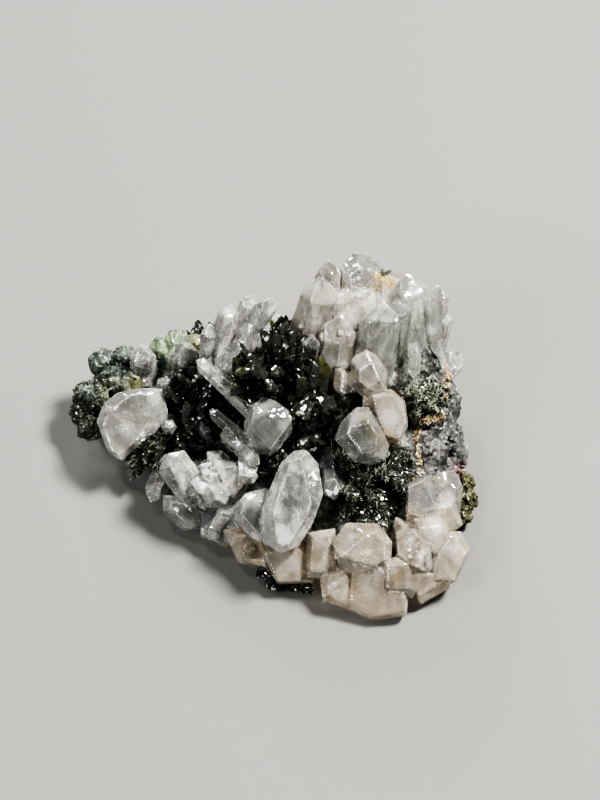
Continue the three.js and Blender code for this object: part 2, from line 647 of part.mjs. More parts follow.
const rockBlocks = [
  [
    [-3, -3, -1], [14, -5, -1], [16, 3, -1], [14, 10.5, -1], [6, 12.2, -1], [-4, 10.4, -1], [-6, 5, -1],
    [15, -3, 6], [16, 3, 6], [13.6, 9.4, 7], [5, 10.8, 7], [-4.6, 9, 7],
    [1, 2.6, 12.6], [6, -0.6, 13], [12, -0.4, 13.6], [13, 4.6, 15],
    [9, 7.4, 15.4], [2.6, 7, 14.4], [-0.6, 5.6, 12.2],
  ],
  [
    [0, -13.4, -1], [4.6, -16.4, -1], [9.6, -17.4, -1], [13.6, -14.6, -1],
    [15.4, -8, -1], [15.4, 0, -1], [0, 0, -1],
    [-4.6, -10, -1], [3, -12.6, 3], [10, -14.4, 3.2],
    [13.4, -12, 4], [15.2, -7, 5.4], [13.6, -3.6, 9.8],
    [4, -3.6, 8.9], [0, -6, 7], [-2.4, -9, 4],
  ],
  [
    [-15, -2, -1], [-11.4, -7.6, -1], [-5, -11.6, -1], [2, -12.6, -1],
    [4, 0, -1], [-2, 10.6, -1], [-12, 9.6, -1],
    [-16, 5, -1], [-13.4, -0.6, 4.6], [-10.4, -5, 3.8], [-4.4, -8.6, 4], [1, -8, 6.4], [2, -1, 10],
    [-1, 6, 12], [-8, 6.4, 8], [-13, 6, 6],
  ],
  [
    [-21, 2.4, -1], [-17.6, -0.6, -1], [-13, -3.4, -1], [-11, 4, -1],
    [-12, 9.2, -1], [-17, 9.6, -1], [-21.4, 7, -1],
    [-20, 3, 4.4], [-16.4, 0.6, 4.6], [-13, 1.6, 5.6], [-12, 6.6, 7], [-16, 7.6, 6.2], [-20, 6.2, 5],
  ],
].map((corners) => facesRound(corners.map((corner) => at(...corner))));

const rockKnobs = lumps(
  [
    [12.6, -1.8, 0.6, 2], [14.4, -3.6, -0.8, 2], [12.8, -5, 0.8, 2.1],
    [15, -5.8, -1.4, 1.9], [13.2, 1.6, -1, 2],
    [14, -7.6, -0.4, 1.8],
  ],
  221,
);

// Materials

const finish = (color, roughness, extra = {}) =>
  new THREE.MeshStandardMaterial({ color, roughness, metalness: 0, flatShading: true, ...extra });
const CLEAR = { transparent: true, opacity: 0.6 };
const quartz = () => finish(0xdcdad4, 0.12, CLEAR);
const warmQuartz = () => finish(0xd8cfba, 0.2, CLEAR);
const epidote = () => finish(0x141d12, 0.18);
const chlorite = () => finish(0x5f7562, 0.6);
const rock = () => finish(0x56545a, 0.85);

// Assembly: what comes first keeps its whole shape, and what comes later grows on and round it

const specimen = new THREE.Group();
const belowCut = solidOf(
  new THREE.BoxGeometry(CUT_REACH, CUT_REACH, CUT_DEPTH).translate(0, 0, -CUT_DEPTH / 2),
);
let taken = belowCut; // the room of all that is grown so far, a gap larger

function grow(name, shapes, material) {
  const mesh = new THREE.Mesh(geometryOf(largestBody(joined(shapes).subtract(taken))), material);
  mesh.name = name;
  specimen.add(mesh);
  taken = taken.add(joined(shapes, GAP));
}

grow("matrix_rock", [...rockBlocks, ...rockKnobs], rock());
grow("quartz_front_pair", frontPair, quartz());
grow("quartz_grey_knob", greyKnob, quartz());
grow("quartz_beige_front", beigeFront, warmQuartz());
grow("quartz_centre_group", centreGroup, quartz());
grow("quartz_shadow_point", shadowPoint, quartz());
grow("quartz_lower_left", lowerLeft, quartz());
grow("quartz_front_crust", frontCrust, warmQuartz());
grow("quartz_left_plate", leftPlate, quartz());
grow("quartz_crown", crown, warmQuartz());
grow("quartz_right_points", rightPoints, quartz());
grow("quartz_right_pair", rightPair, quartz());
grow("quartz_left_fan", leftFan, quartz());
for (const [name, point] of Object.entries({ ...smallPoints, ...backPoints }))
  grow(name, [quartzPoint(point)], quartz());
for (const [name, shapes] of Object.entries(chlorites)) grow(name, shapes, chlorite());
for (const [name, blades] of Object.entries(sprays)) grow(name, blades, epidote());
grow("epidote_bottom_leaf", bottomLeaf, epidote());

const middle = new THREE.Box3().setFromObject(specimen).getCenter(new THREE.Vector3());
specimen.position.set(-middle.x, -middle.y, 0);

export default specimen;
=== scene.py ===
# Epidote with quartz: the finish of every crystal, the small growth between them, light and camera
import math
import bmesh
import bpy
import numpy as np
from mathutils import Matrix, Vector


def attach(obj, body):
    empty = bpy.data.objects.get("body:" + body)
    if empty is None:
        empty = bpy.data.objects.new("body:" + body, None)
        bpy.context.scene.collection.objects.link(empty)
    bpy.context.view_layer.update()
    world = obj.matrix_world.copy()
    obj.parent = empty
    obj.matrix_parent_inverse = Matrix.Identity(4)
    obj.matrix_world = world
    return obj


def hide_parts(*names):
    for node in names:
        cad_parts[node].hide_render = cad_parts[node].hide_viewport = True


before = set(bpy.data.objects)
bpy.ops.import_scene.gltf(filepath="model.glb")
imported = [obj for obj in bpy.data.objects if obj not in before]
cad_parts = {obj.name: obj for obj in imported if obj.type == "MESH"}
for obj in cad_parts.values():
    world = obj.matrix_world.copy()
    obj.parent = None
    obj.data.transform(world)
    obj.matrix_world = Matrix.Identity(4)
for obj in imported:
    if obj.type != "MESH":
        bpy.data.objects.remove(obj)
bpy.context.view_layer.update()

mm = 0.001

# The camera looks down on the crystal face. Places on that face are given as they are seen:
# millimetres to the right of the picture's middle, up from it, and nearer to the eye.
picture = {
    "tilt": 55,                     # degrees above the floor
    "middle": (2.71, 2.86, 9.9),    # mm, what stands in the middle of the picture
    "distance": 400,                # mm
    "lens": 180,                    # mm
    "sensor": 36,                   # mm, the long side of the picture
}
slope = math.radians(picture["tilt"])
seenAxes = np.array([
    [1, 0, 0],
    [0, math.sin(slope), math.cos(slope)],
    [0, -math.cos(slope), math.sin(slope)],
])
pictureMiddle = np.array(picture["middle"]) * mm


def seen(right, up, near):  # a place on the crystal face, in metres
    return pictureMiddle + mm * np.array([right, up, near]) @ seenAxes


def seenWay(right, up, near):  # a direction given the same way
    return unit(np.array([right, up, near], float) @ seenAxes)


def asSeen(points):  # right, up and near of many places, in mm
    return (points - pictureMiddle) @ seenAxes.T / mm


def unit(vectors):
    return vectors / np.maximum(np.linalg.norm(vectors, axis=-1, keepdims=True), 1e-12)


# Noise, for shapes and for tints. Sizes are in mm, places in metres.

def hashed(cells, seed):  # a number from 0 to 1 for every whole-number cell, always the same one
    mixed = cells[..., 0] * 73856093 ^ cells[..., 1] * 19349663 ^ cells[..., 2] * 83492791
    mixed = (mixed ^ (seed * 40503 + 977)) & 0xffffffff
    mixed = (mixed ^ (mixed >> 15)) * 739982445 & 0xffffffff
    mixed = (mixed ^ (mixed >> 12)) * 695872825 & 0xffffffff
    return ((mixed ^ (mixed >> 15)) & 0xffffff) / float(0xffffff)


def softNoise(points, size, seed=0):  # corner values of each cube blended smoothly, from -1 to 1
    place = points / (size * mm)
    corner = np.floor(place).astype(np.int64)
    part = place - corner
    part = part * part * (3 - 2 * part)
    total = np.zeros(len(points))
    for step in np.ndindex(2, 2, 2):
        total += np.prod(np.where(step, part, 1 - part), axis=1) * hashed(corner + step, seed)
    return total * 2 - 1


def roughNoise(points, size, octaves=3, seed=0):  # soft noise on itself, each time half as large
    parts = [softNoise(points, size / 2**k, seed + 7 * k) / 2**k for k in range(octaves)]
    return sum(parts) / (2 - 2 ** (1 - octaves))


def knobNoise(points, size, seed=0):
    # For the nearest of the strewn seeds: how far it is, its number, and how high the point lies
    # on a flat facet that is tilted the seed's own way
    place = points / (size * mm)
    corner = np.floor(place).astype(np.int64)
    nearest = np.full(len(points), 9.0)
    owner = np.zeros_like(corner)
    offset = np.zeros_like(place)
    for step in np.ndindex(3, 3, 3):
        cell = corner + np.array(step) - 1
        away = place - cell - np.stack([hashed(cell, seed + k) for k in (1, 2, 3)], axis=1)
        distance = np.linalg.norm(away, axis=1)
        closer = distance < nearest
        nearest[closer] = distance[closer]
        owner[closer] = cell[closer]
        offset[closer] = away[closer]
    tilt = np.stack([hashed(owner, seed + k) - 0.5 for k in (5, 6, 7)], axis=1)
    return nearest, hashed(owner, seed + 4), np.sum(unit(tilt) * offset, axis=1)


def near(points, spots, soft=0.6):  # 1 inside the round spots (right, up, radius), fading over soft
    place = asSeen(points)
    share = np.zeros(len(points))
    for right, up, radius in spots:
        distance = np.hypot(place[:, 0] - right, place[:, 1] - up)
        share = np.maximum(share, np.clip((radius - distance) / soft + 0.5, 0, 1))
    return share


# Surfaces are arrays: points in metres and triangles that point outwards.

def faceNormals(points, triangles):
    a, b, c = (points[triangles[:, k]] for k in range(3))
    return np.cross(b - a, c - a)       # as long as twice the triangle's area


def pointNormals(points, triangles):
    normals = faceNormals(points, triangles)
    total = np.zeros_like(points)
    for corner in range(3):
        np.add.at(total, triangles[:, corner], normals)
    return unit(total)


def sidesOf(triangles):  # every edge once, and which three belong to each triangle
    sides = np.sort(triangles[:, [[0, 1], [1, 2], [2, 0]]].reshape(-1, 2), axis=1)
    edges, which = np.unique(sides, axis=0, return_inverse=True)
    return edges, which.reshape(-1, 3)


def rimOf(points, triangles, angle=14):  # 1 at the points on a sharp edge
    edges, which = sidesOf(triangles)
    normals = unit(faceNormals(points, triangles))
    lowest = np.full((len(edges), 3), 9.0)
    highest = np.full((len(edges), 3), -9.0)
    for side in range(3):
        np.minimum.at(lowest, which[:, side], normals)
        np.maximum.at(highest, which[:, side], normals)
    turned = np.linalg.norm(highest - lowest, axis=1) > 2 * math.sin(math.radians(angle) / 2)
    rim = np.zeros(len(points))
    rim[edges[turned].ravel()] = 1
    return rim


def faceTones(points, triangles):  # every flat face has its own number from 0 to 1, at all its points
    normals = faceNormals(points, triangles)
    area = np.linalg.norm(normals, axis=1)
    flat = unit(normals)
    height = np.sum(flat * points[triangles[:, 0]], axis=1) / (1.7 * mm)
    cells = np.round(flat * 9 + 0.137).astype(np.int64)
    cells[:, 0] += 37 * np.round(height + 0.21).astype(np.int64)
    number = hashed(cells, 77)
    total, weight = np.zeros(len(points)), np.full(len(points), 1e-15)
    for corner in range(3):
        np.add.at(total, triangles[:, corner], number * area)
        np.add.at(weight, triangles[:, corner], area)
    return total / weight


def refined(points, triangles, longest):  # halves every edge that is longer, until none is left
    while True:
        edges, which = sidesOf(triangles)
        length = np.linalg.norm(points[edges[:, 0]] - points[edges[:, 1]], axis=1)
        tooLong = length > longest * mm
        if not tooLong.any():
            return points, triangles
        middle = np.full(len(edges), -1)
        middle[tooLong] = len(points) + np.arange(tooLong.sum())
        points = np.vstack([points, points[edges[tooLong]].mean(axis=1)])
        cut = middle[which]
        count = (cut >= 0).sum(axis=1)
        parts = [triangles[count == 0]]
        for number in (1, 2, 3):
            corners, cuts = triangles[count == number], cut[count == number]
            if not len(corners):
                continue
            if number == 1:             # turned so that the cut side is the first
                turn = np.argmax(cuts >= 0, axis=1)
            elif number == 2:           # turned so that the whole side is the last
                turn = (np.argmax(cuts < 0, axis=1) + 1) % 3
            else:
                turn = np.zeros(len(corners), int)
            order = (np.arange(3) + turn[:, None]) % 3
            a, b, c = np.take_along_axis(corners, order, axis=1).T
            m, n, p = np.take_along_axis(cuts, order, axis=1).T
            new = {
                1: [(a, m, c), (m, b, c)],
                2: [(m, b, n), (a, m, n), (a, n, c)],
                3: [(a, m, p), (m, b, n), (p, n, c), (m, n, p)],
            }[number]
            parts += [np.stack(corner, axis=1) for corner in new]
        triangles = np.concatenate(parts)


def swollen(points, triangles, amount):  # every face plane moves outwards by the same amount, in mm
    normals = unit(faceNormals(points, triangles))
    outer = normals[:, :, None] * normals[:, None, :]
    spread = np.zeros((len(points), 3, 3))
    pull = np.zeros((len(points), 3))
    for corner in range(3):
        np.add.at(spread, triangles[:, corner], outer)
        np.add.at(pull, triangles[:, corner], normals)
    step = np.linalg.solve(spread + 0.03 * np.eye(3), pull[..., None])[..., 0]
    reach = np.linalg.norm(step, axis=1, keepdims=True)
    return points + step * np.minimum(1, 2 / np.maximum(reach, 1e-9)) * amount * mm


def joined(*surfaces):
    points, triangles, count = [], [], 0
    for somePoints, someTriangles in surfaces:
        points.append(somePoints)
        triangles.append(someTriangles + count)
        count += len(somePoints)
    return np.vstack(points), np.vstack(triangles)


def triangulated(work):
    bmesh.ops.triangulate(work, faces=work.faces)
    work.verts.index_update()
    points = np.array([vertex.co for vertex in work.verts], float).reshape(-1, 3)
    triangles = np.array([[v.index for v in face.verts] for face in work.faces], int)
    work.free()
    return points, triangles.reshape(-1, 3)


def cadSurface(node, shortest=0.07):  # the node's faces, merged, without the tiniest edges
    work = bmesh.new()
    work.from_mesh(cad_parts[node].data)
    bmesh.ops.remove_doubles(work, verts=work.verts, dist=2e-6)
    bmesh.ops.dissolve_limit(work, angle_limit=math.radians(0.3), verts=work.verts, edges=work.edges)
    short = [edge for edge in work.edges if edge.calc_length() < shortest * mm]
    bmesh.ops.collapse(work, edges=short)
    return triangulated(work)


def voxelSurface(node, size):  # the node as an even skin of small squares
    points, triangles = cadSurface(node, 0)
    mesh = buildMesh("raw_" + node, points, triangles)
    carrier = bpy.data.objects.new("raw_" + node, mesh)
    bpy.context.scene.collection.objects.link(carrier)
    remesh = carrier.modifiers.new("skin", "REMESH")
    remesh.mode = "VOXEL"
    remesh.voxel_size = size * mm
    shown = carrier.evaluated_get(bpy.context.evaluated_depsgraph_get())
    work = bmesh.new()
    work.from_mesh(shown.to_mesh())
    shown.to_mesh_clear()
    bpy.data.objects.remove(carrier)
    bpy.data.meshes.remove(mesh)
    return triangulated(work)


def buildMesh(name, points, triangles, values=None, tints=None, sharp=None):
    mesh = bpy.data.meshes.new(name)
    mesh.vertices.add(len(points))
    mesh.vertices.foreach_set("co", points.astype(np.float32).ravel())
    mesh.loops.add(triangles.size)
    mesh.loops.foreach_set("vertex_index", triangles.astype(np.int32).ravel())
    mesh.polygons.add(len(triangles))
    mesh.polygons.foreach_set("loop_start", np.arange(0, triangles.size, 3, dtype=np.int32))
    mesh.update(calc_edges=True)
    mesh.validate()
    for attribute, value in (values or {}).items():
        layer = mesh.attributes.new(attribute, "FLOAT", "POINT")
        layer.data.foreach_set("value", np.asarray(value, np.float32))
    for attribute, tint in (tints or {}).items():
        layer = mesh.attributes.new(attribute, "FLOAT_COLOR", "POINT")
        full = np.concatenate([tint, np.ones((len(tint), 1))], axis=1)
        layer.data.foreach_set("color", full.astype(np.float32).ravel())
    if sharp is not None:
        mesh.shade_smooth()
        mesh.set_sharp_from_angle(angle=math.radians(sharp))
    return mesh


def showPiece(name, mesh, material, nodes=()):
    piece = bpy.data.objects.new(name, mesh)
    bpy.context.scene.collection.objects.link(piece)
    mesh.materials.append(material)
    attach(piece, "root")
    if nodes:
        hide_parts(*nodes)
    print(f"{name}: {len(mesh.polygons)} triangles")
    return piece


# Small crystals are one bar shape carried to many places.

def barShape(sides, rings):
    # A closed bar along x: a regular polygon of that many sides is carried through the rings,
    # each of them its place along the bar, half its width and thickness, and its shift sideways
    turn = np.arange(sides) * 2 * np.pi / sides
    points = np.concatenate([
        np.stack([np.full(sides, x), np.cos(turn) * wide + shift, np.sin(turn) * thick], axis=1)
        for x, wide, thick, shift in rings
    ])
    a = np.arange(sides * (len(rings) - 1))
    b = a - a % sides + (a + 1) % sides
    walls = np.concatenate([np.stack([a, b, b + sides], 1), np.stack([a, b + sides, a + sides], 1)])
    fan = np.arange(1, sides - 1)
    start = np.stack([0 * fan, fan + 1, fan], axis=1)
    end = np.stack([0 * fan, fan, fan + 1], axis=1) + sides * (len(rings) - 1)
    return points, np.vstack([walls, start, end])


def framesAlong(along, turn):  # three axes for each bar: along it, across it and through it
    along = unit(along)
    helper = np.where(np.abs(along[:, 2:]) < 0.9, [[0.0, 0, 1]], [[1.0, 0, 0]])
    across = unit(np.cross(helper, along))
    through = np.cross(along, across)
    turned = across * np.cos(turn)[:, None] + through * np.sin(turn)[:, None]
    return np.stack([along, turned, np.cross(along, turned)], axis=2)


def repeated(shape, places, axes, sizes):  # sizes in mm, along, across and through
    points, triangles = shape
    copies = np.einsum("nij,nkj->nki", axes, points[None] * sizes[:, None, :] * mm) + places[:, None, :]
    copies[..., 2] = np.maximum(copies[..., 2], 0)     # nothing reaches below the cut it rests on
    corners = triangles[None] + np.arange(len(places))[:, None, None] * len(points)
    return copies.reshape(-1, 3), corners.reshape(-1, 3)


def strewn(surface, count, random, wanted=None):  # even random places on a surface, some not wanted
    points, triangles = surface
    normals = faceNormals(points, triangles)
    area = np.linalg.norm(normals, axis=1)
    chosen = random.choice(len(triangles), count, p=area / area.sum())
    u, v = random.random((2, count))
    u, v = np.where(u + v > 1, 1 - u, u), np.where(u + v > 1, 1 - v, v)
    a, b, c = (points[triangles[chosen, k]] for k in range(3))
    places = a + (b - a) * u[:, None] + (c - a) * v[:, None]
    outwards = unit(normals[chosen])
    if wanted is None:
        return places, outwards
    kept = random.random(count) < wanted(places, outwards)
    return places[kept], outwards[kept]


pointedShape = barShape(6, [(0, 0.5, 0.5, 0), (0.62, 0.5, 0.5, 0), (1, 0.04, 0.04, 0)])
prismShape = barShape(6, [
    (0, 0.42, 0.42, 0), (0.5, 0.48, 0.46, 0), (0.86, 0.5, 0.5, 0), (1, 0.16, 0.10, 0.12),
])
bladeShape = barShape(6, [
    (0, 0.42, 0.42, 0), (0.55, 0.5, 0.5, 0), (0.86, 0.5, 0.46, 0), (1, 0.24, 0.12, 0.2),
])
needleShape = barShape(3, [(0, 0.5, 0.5, 0), (0.8, 0.42, 0.42, 0), (1, 0.08, 0.08, 0)])
grainShape = barShape(4, [(-0.5, 0.3, 0.26, 0.08), (0.02, 0.5, 0.5, 0), (0.5, 0.2, 0.3, -0.06)])
flakeShape = barShape(6, [(-0.5, 0.46, 0.5, 0), (0.5, 0.5, 0.44, 0.04)])
moteShape = barShape(3, [(-0.5, 0.06, 0.06, 0), (0, 0.5, 0.5, 0), (0.5, 0.06, 0.06, 0)])


def frontOf(surface, right, up, around=0.45):  # how near to the eye the surface comes there, in mm
    place = asSeen(surface[0])
    away = np.hypot(place[:, 0] - right, place[:, 1] - up)
    return place[away <= max(around, away.min() + 0.01), 2].max()


def standing(heart, bars, shape, under=0.4):
    # Each bar goes from its foot, a little under the skin, to its tip, with its broad side outwards:
    # right and up of the foot and of the tip, how far the tip leans out, width, thickness
    foot = np.array([seen(right, up, frontOf(heart, right, up) - under) for right, up, *_ in bars])
    footRight, footUp, tipRight, tipUp, lean, width, thick = np.array(bars)[:, :7].T[..., None]
    along = (tipRight - footRight) * seenWay(1, 0, 0) + (tipUp - footUp) * seenWay(0, 1, 0)
    along = along + lean * seenAxes[2]
    length = np.linalg.norm(along, axis=1, keepdims=True)
    turned = 0.35 * np.sin(3.0 * footRight + 2.0 * footUp)      # no two bars face quite the same way
    side = unit(np.cross(seenAxes[2] + turned * seenAxes[0], along))
    axes = np.stack([unit(along), side, np.cross(unit(along), side)], axis=2)
    return repeated(shape, foot, axes, np.hstack([length, width, thick]))


def between(random, pair, count):
    return pair[0] + (pair[1] - pair[0]) * random.random(count)


# how a small quartz point grows
pointHabit = {
    "upright": 0.8,          # how closely it follows the skin outwards
    "lean": 0.3,             # how much it leans the way that its piece grows
    "thick": (0.75, 1.1),    # thickness for a width of 1
    "sunk": 0.45,            # share of its length that is under the skin
}


def pointsOn(surface, look, random, wanted=None):
    # Small six-sided points, part of each sunk into what it grows on
    places, outwards = strewn(surface, look["count"], random, wanted)
    count = len(places)
    along = outwards * pointHabit["upright"] + seenWay(*look["way"]) * pointHabit["lean"]
    along = unit(along + random.normal(0, look["spread"], places.shape))
    width = between(random, look["width"], count)
    length = width * between(random, look["slender"], count)
    thick = width * between(random, pointHabit["thick"], count)
    sizes = np.stack([length, width, thick], axis=1)
    turned = framesAlong(along, random.random(count) * np.pi)
    return repeated(pointedShape, places - along * (sizes[:, :1] * pointHabit["sunk"] * mm), turned, sizes)


# Materials. Sizes in them are in mm too.

def newMaterial(name):
    material = bpy.data.materials.new(name)
    material.use_nodes = True
    tree = material.node_tree
    tree.nodes.clear()
    output = tree.nodes.new("ShaderNodeOutputMaterial")
    shader = tree.nodes.new("ShaderNodeBsdfPrincipled")
    tree.links.new(shader.outputs["BSDF"], output.inputs["Surface"])
    return material, tree, shader


def add(tree, kind, inputs, **settings):
    node = tree.nodes.new("ShaderNode" + kind)
    for key, value in settings.items():
        setattr(node, key, value)
    for key, value in inputs.items():
        if isinstance(value, bpy.types.NodeSocket):
            tree.links.new(value, node.inputs[key])
        else:
            node.inputs[key].default_value = value
    return node


def objectPlace(tree):
    return add(tree, "TexCoord", {}).outputs["Object"]


def stretchedPlace(tree, place, way, stretch):  # drawn out along a direction
    turn = Vector(way).to_track_quat("Z", "Y").to_euler()
    mapping = add(tree, "Mapping", {"Vector": place, "Rotation": turn, "Scale": (1, 1, stretch)},
                  vector_type="TEXTURE")
    return mapping.outputs["Vector"]


def noise(tree, place, size, detail=3, roughness=0.55, twist=0.0):
    return add(tree, "TexNoise", {"Vector": place, "Scale": 1000 / size, "Detail": detail,
                                  "Roughness": roughness, "Distortion": twist}).outputs["Fac"]


def cellsAt(tree, place, size, feature="F1", output="Distance"):
    return add(tree, "TexVoronoi", {"Vector": place, "Scale": 1000 / size}, feature=feature).outputs[output]


def vectors(tree, operation, first, second):
    return add(tree, "VectorMath", {0: first, 1: second}, operation=operation)


def warped(tree, place, size, amount):  # pushed about by a noise of that size, by up to the amount in mm
    push = add(tree, "TexNoise", {"Vector": place, "Scale": 1000 / size, "Detail": 2}).outputs["Color"]
    push = vectors(tree, "SUBTRACT", push, (0.5, 0.5, 0.5)).outputs[0]
    push = add(tree, "VectorMath", {0: push, "Scale": 2 * amount * mm}, operation="SCALE").outputs[0]
    return vectors(tree, "ADD", place, push).outputs[0]


def ramp(tree, factor, stops):  # stops: where on the factor, and the value or colour there
    node = add(tree, "ValToRGB", {"Fac": factor})
    elements = node.color_ramp.elements
    while len(elements) < len(stops):
        elements.new(0.5)
    for element, (position, value) in zip(elements, stops):
        element.position = position
        element.color = (value, value, value, 1) if isinstance(value, (int, float)) else (*value, 1)
    return node.outputs["Color"]


def blend(tree, factor, first, second, way="MIX"):
    values = {0: factor}
    for key, value in ((6, first), (7, second)):
        values[key] = value if isinstance(value, bpy.types.NodeSocket) else (*value, 1)
    return add(tree, "Mix", values, data_type="RGBA", blend_type=way).outputs[2]


def maths(tree, operation, first, second=0.0):
    return add(tree, "Math", {0: first, 1: second}, operation=operation).outputs[0]


def bump(tree, height, depth, normal=None, strength=1.0):  # depth in mm
    inputs = {"Height": height, "Distance": depth * mm, "Strength": strength}
    if normal is not None:
        inputs["Normal"] = normal
    return add(tree, "Bump", inputs).outputs["Normal"]


def facets(tree, place, size, steep, normal=None, strength=1.0):
    # Small mirrors: each strewn cell is a flat piece, tilted its own way by up to that slope
    cell = add(tree, "TexVoronoi", {"Vector": place, "Scale": 1000 / size})
    inside = vectors(tree, "SUBTRACT", place, cell.outputs["Position"]).outputs[0]
    way = vectors(tree, "SUBTRACT", cell.outputs["Color"], (0.5, 0.5, 0.5)).outputs[0]
    height = vectors(tree, "DOT_PRODUCT", inside, way).outputs["Value"]
    return bump(tree, height, 2 * steep / mm, normal, strength)


def attribute(tree, name, output="Fac"):
    return add(tree, "Attribute", {}, attribute_name=name).outputs[output]


def mottled(tree, tint, pattern, stops, strength=1.0):
    # The tint times greys that follow the pattern. The stops: where on the pattern the greys begin,
    # how light they are there, where they end, and how light they are there
    start, low, end, high = stops
    greys = ramp(tree, pattern, [(start, (low, low, low)), (end, (high, high, high))])
    return blend(tree, strength, tint, greys, "MULTIPLY")


def connect(tree, value, socket):
    tree.links.new(value, socket)


def polished(tree, shader, place, look):
    # Smooth and rough patches, small flat pieces that catch the light, and a fine relief. A noise is
    # its size in mm, its detail and its roughness
    patches = ramp(tree, noise(tree, place, *look["patches"]), look["roughness"])
    connect(tree, patches, shader.inputs["Roughness"])
    normal = facets(tree, place, look["mirrorSize"], look["mirror"])
    normal = bump(tree, noise(tree, place, *look["relief"]), look["reliefDepth"], normal)
    connect(tree, normal, shader.inputs["Normal"])


# Camera

eye = pictureMiddle + seenAxes[2] * picture["distance"] * mm
cameraData = bpy.data.cameras.new("camera")
cameraData.lens = picture["lens"]
cameraData.sensor_width = picture["sensor"]
cameraData.clip_start = 0.01        # m
camera = bpy.data.objects.new("camera", cameraData)
bpy.context.scene.collection.objects.link(camera)
camera.matrix_world = Matrix.Translation(Vector(eye)) @ Matrix(seenAxes.T.tolist()).to_4x4()
bpy.context.scene.camera = camera
print("camera set")


# A pale floor that curves up into a wall all round

studio = {
    "flat": 0.55,             # m, how far the floor is flat
    "reach": 0.95,            # m, where the wall stands
    "wallTop": 0.42,          # m
    "under": 0.00002,         # m, how far the floor lies below the piece
    "hub": 0.002,             # m, the radius of its first ring
    "flatRings": 12,
    "bendRings": 16,
    "sides": 96,
    "floorColour": (0.088, 0.087, 0.084),
    "floorRoughness": 0.8,
    "worldColour": (0.68, 0.675, 0.67),
    "world": 0.12,            # how bright the air is
}


def studioFloor():
    # A profile of radius and height turned about the middle: flat, then a quarter of an ellipse
    flat, sides = studio["flat"], studio["sides"]
    angle = np.linspace(0, np.pi / 2, studio["bendRings"] + 1)[1:]
    radius = np.concatenate([
        np.linspace(studio["hub"], flat, studio["flatRings"]),
        flat + (studio["reach"] - flat) * np.sin(angle),
    ])
    height = np.concatenate([np.zeros(studio["flatRings"]), studio["wallTop"] * (1 - np.cos(angle))])
    height = height - studio["under"]
    turn = np.linspace(0, 2 * np.pi, sides + 1)[:-1]
    points = np.stack([
        radius[:, None] * np.cos(turn), radius[:, None] * np.sin(turn), np.repeat(height[:, None], sides, 1),
    ], axis=2).reshape(-1, 3)
    a = np.arange(sides * (len(radius) - 1))
    b = a - a % sides + (a + 1) % sides
    walls = np.concatenate([np.stack([a, a + sides, b + sides], 1), np.stack([a, b + sides, b], 1)])
    points = np.vstack([points, [[0, 0, -studio["under"]]]])
    rim = np.arange(sides)
    hub = np.stack([np.full(sides, len(points) - 1), rim, (rim + 1) % sides], axis=1)
    return points, np.vstack([walls, hub])


floorMaterial, tree, shader = newMaterial("studio_floor")
shader.inputs["Base Color"].default_value = (*studio["floorColour"], 1)
shader.inputs["Roughness"].default_value = studio["floorRoughness"]
floorMesh = buildMesh("studio_floor", *studioFloor(), sharp=60)
floorMesh.materials.append(floorMaterial)
floor = bpy.data.objects.new("studio_floor", floorMesh)
bpy.context.scene.collection.objects.link(floor)

world = bpy.data.worlds.new("studio_air")
world.use_nodes = True
world.node_tree.nodes["Background"].inputs["Color"].default_value = (*studio["worldColour"], 1)
world.node_tree.nodes["Background"].inputs["Strength"].default_value = studio["world"]
bpy.context.scene.world = world
bpy.context.scene.view_settings.look = "AgX - Very High Contrast"

# Each lamp: the way it stands from the middle of the piece, how far off and its side in metres
lamps = {
    "key": {
        "way": (0.50, 0.16, 0.85), "distance": 0.46, "side": 0.10,
        "power": 10.2, "colour": (1, 0.97, 0.925),
    },
    "fill": {
        "way": (-0.62, -0.48, 0.62), "distance": 0.55, "side": 0.26,
        "power": 3.1, "colour": (1, 0.995, 0.98),
    },
    "back": {
        "way": (-0.25, 0.80, 0.42), "distance": 0.55, "side": 0.22,
        "power": 4.0, "colour": (1, 0.99, 0.975),
    },
    "glint": {
        "way": (-0.30, 0.10, 0.90), "distance": 0.50, "side": 0.03,
        "power": 0.7, "colour": (1, 0.99, 0.97),
    },
}
for name, lamp in lamps.items():
    data = bpy.data.lights.new(name + "_lamp", "AREA")
    data.shape = "SQUARE"
    data.size = lamp["side"]
    data.energy = lamp["power"]
    data.color = lamp["colour"]
    light = bpy.data.objects.new(name + "_lamp", data)
    bpy.context.scene.collection.objects.link(light)
    way = Vector(lamp["way"]).normalized()
    light.location = Vector(pictureMiddle) + way * lamp["distance"]
    light.rotation_euler = way.to_track_quat("Z", "Y").to_euler()
print("floor and lamps set")


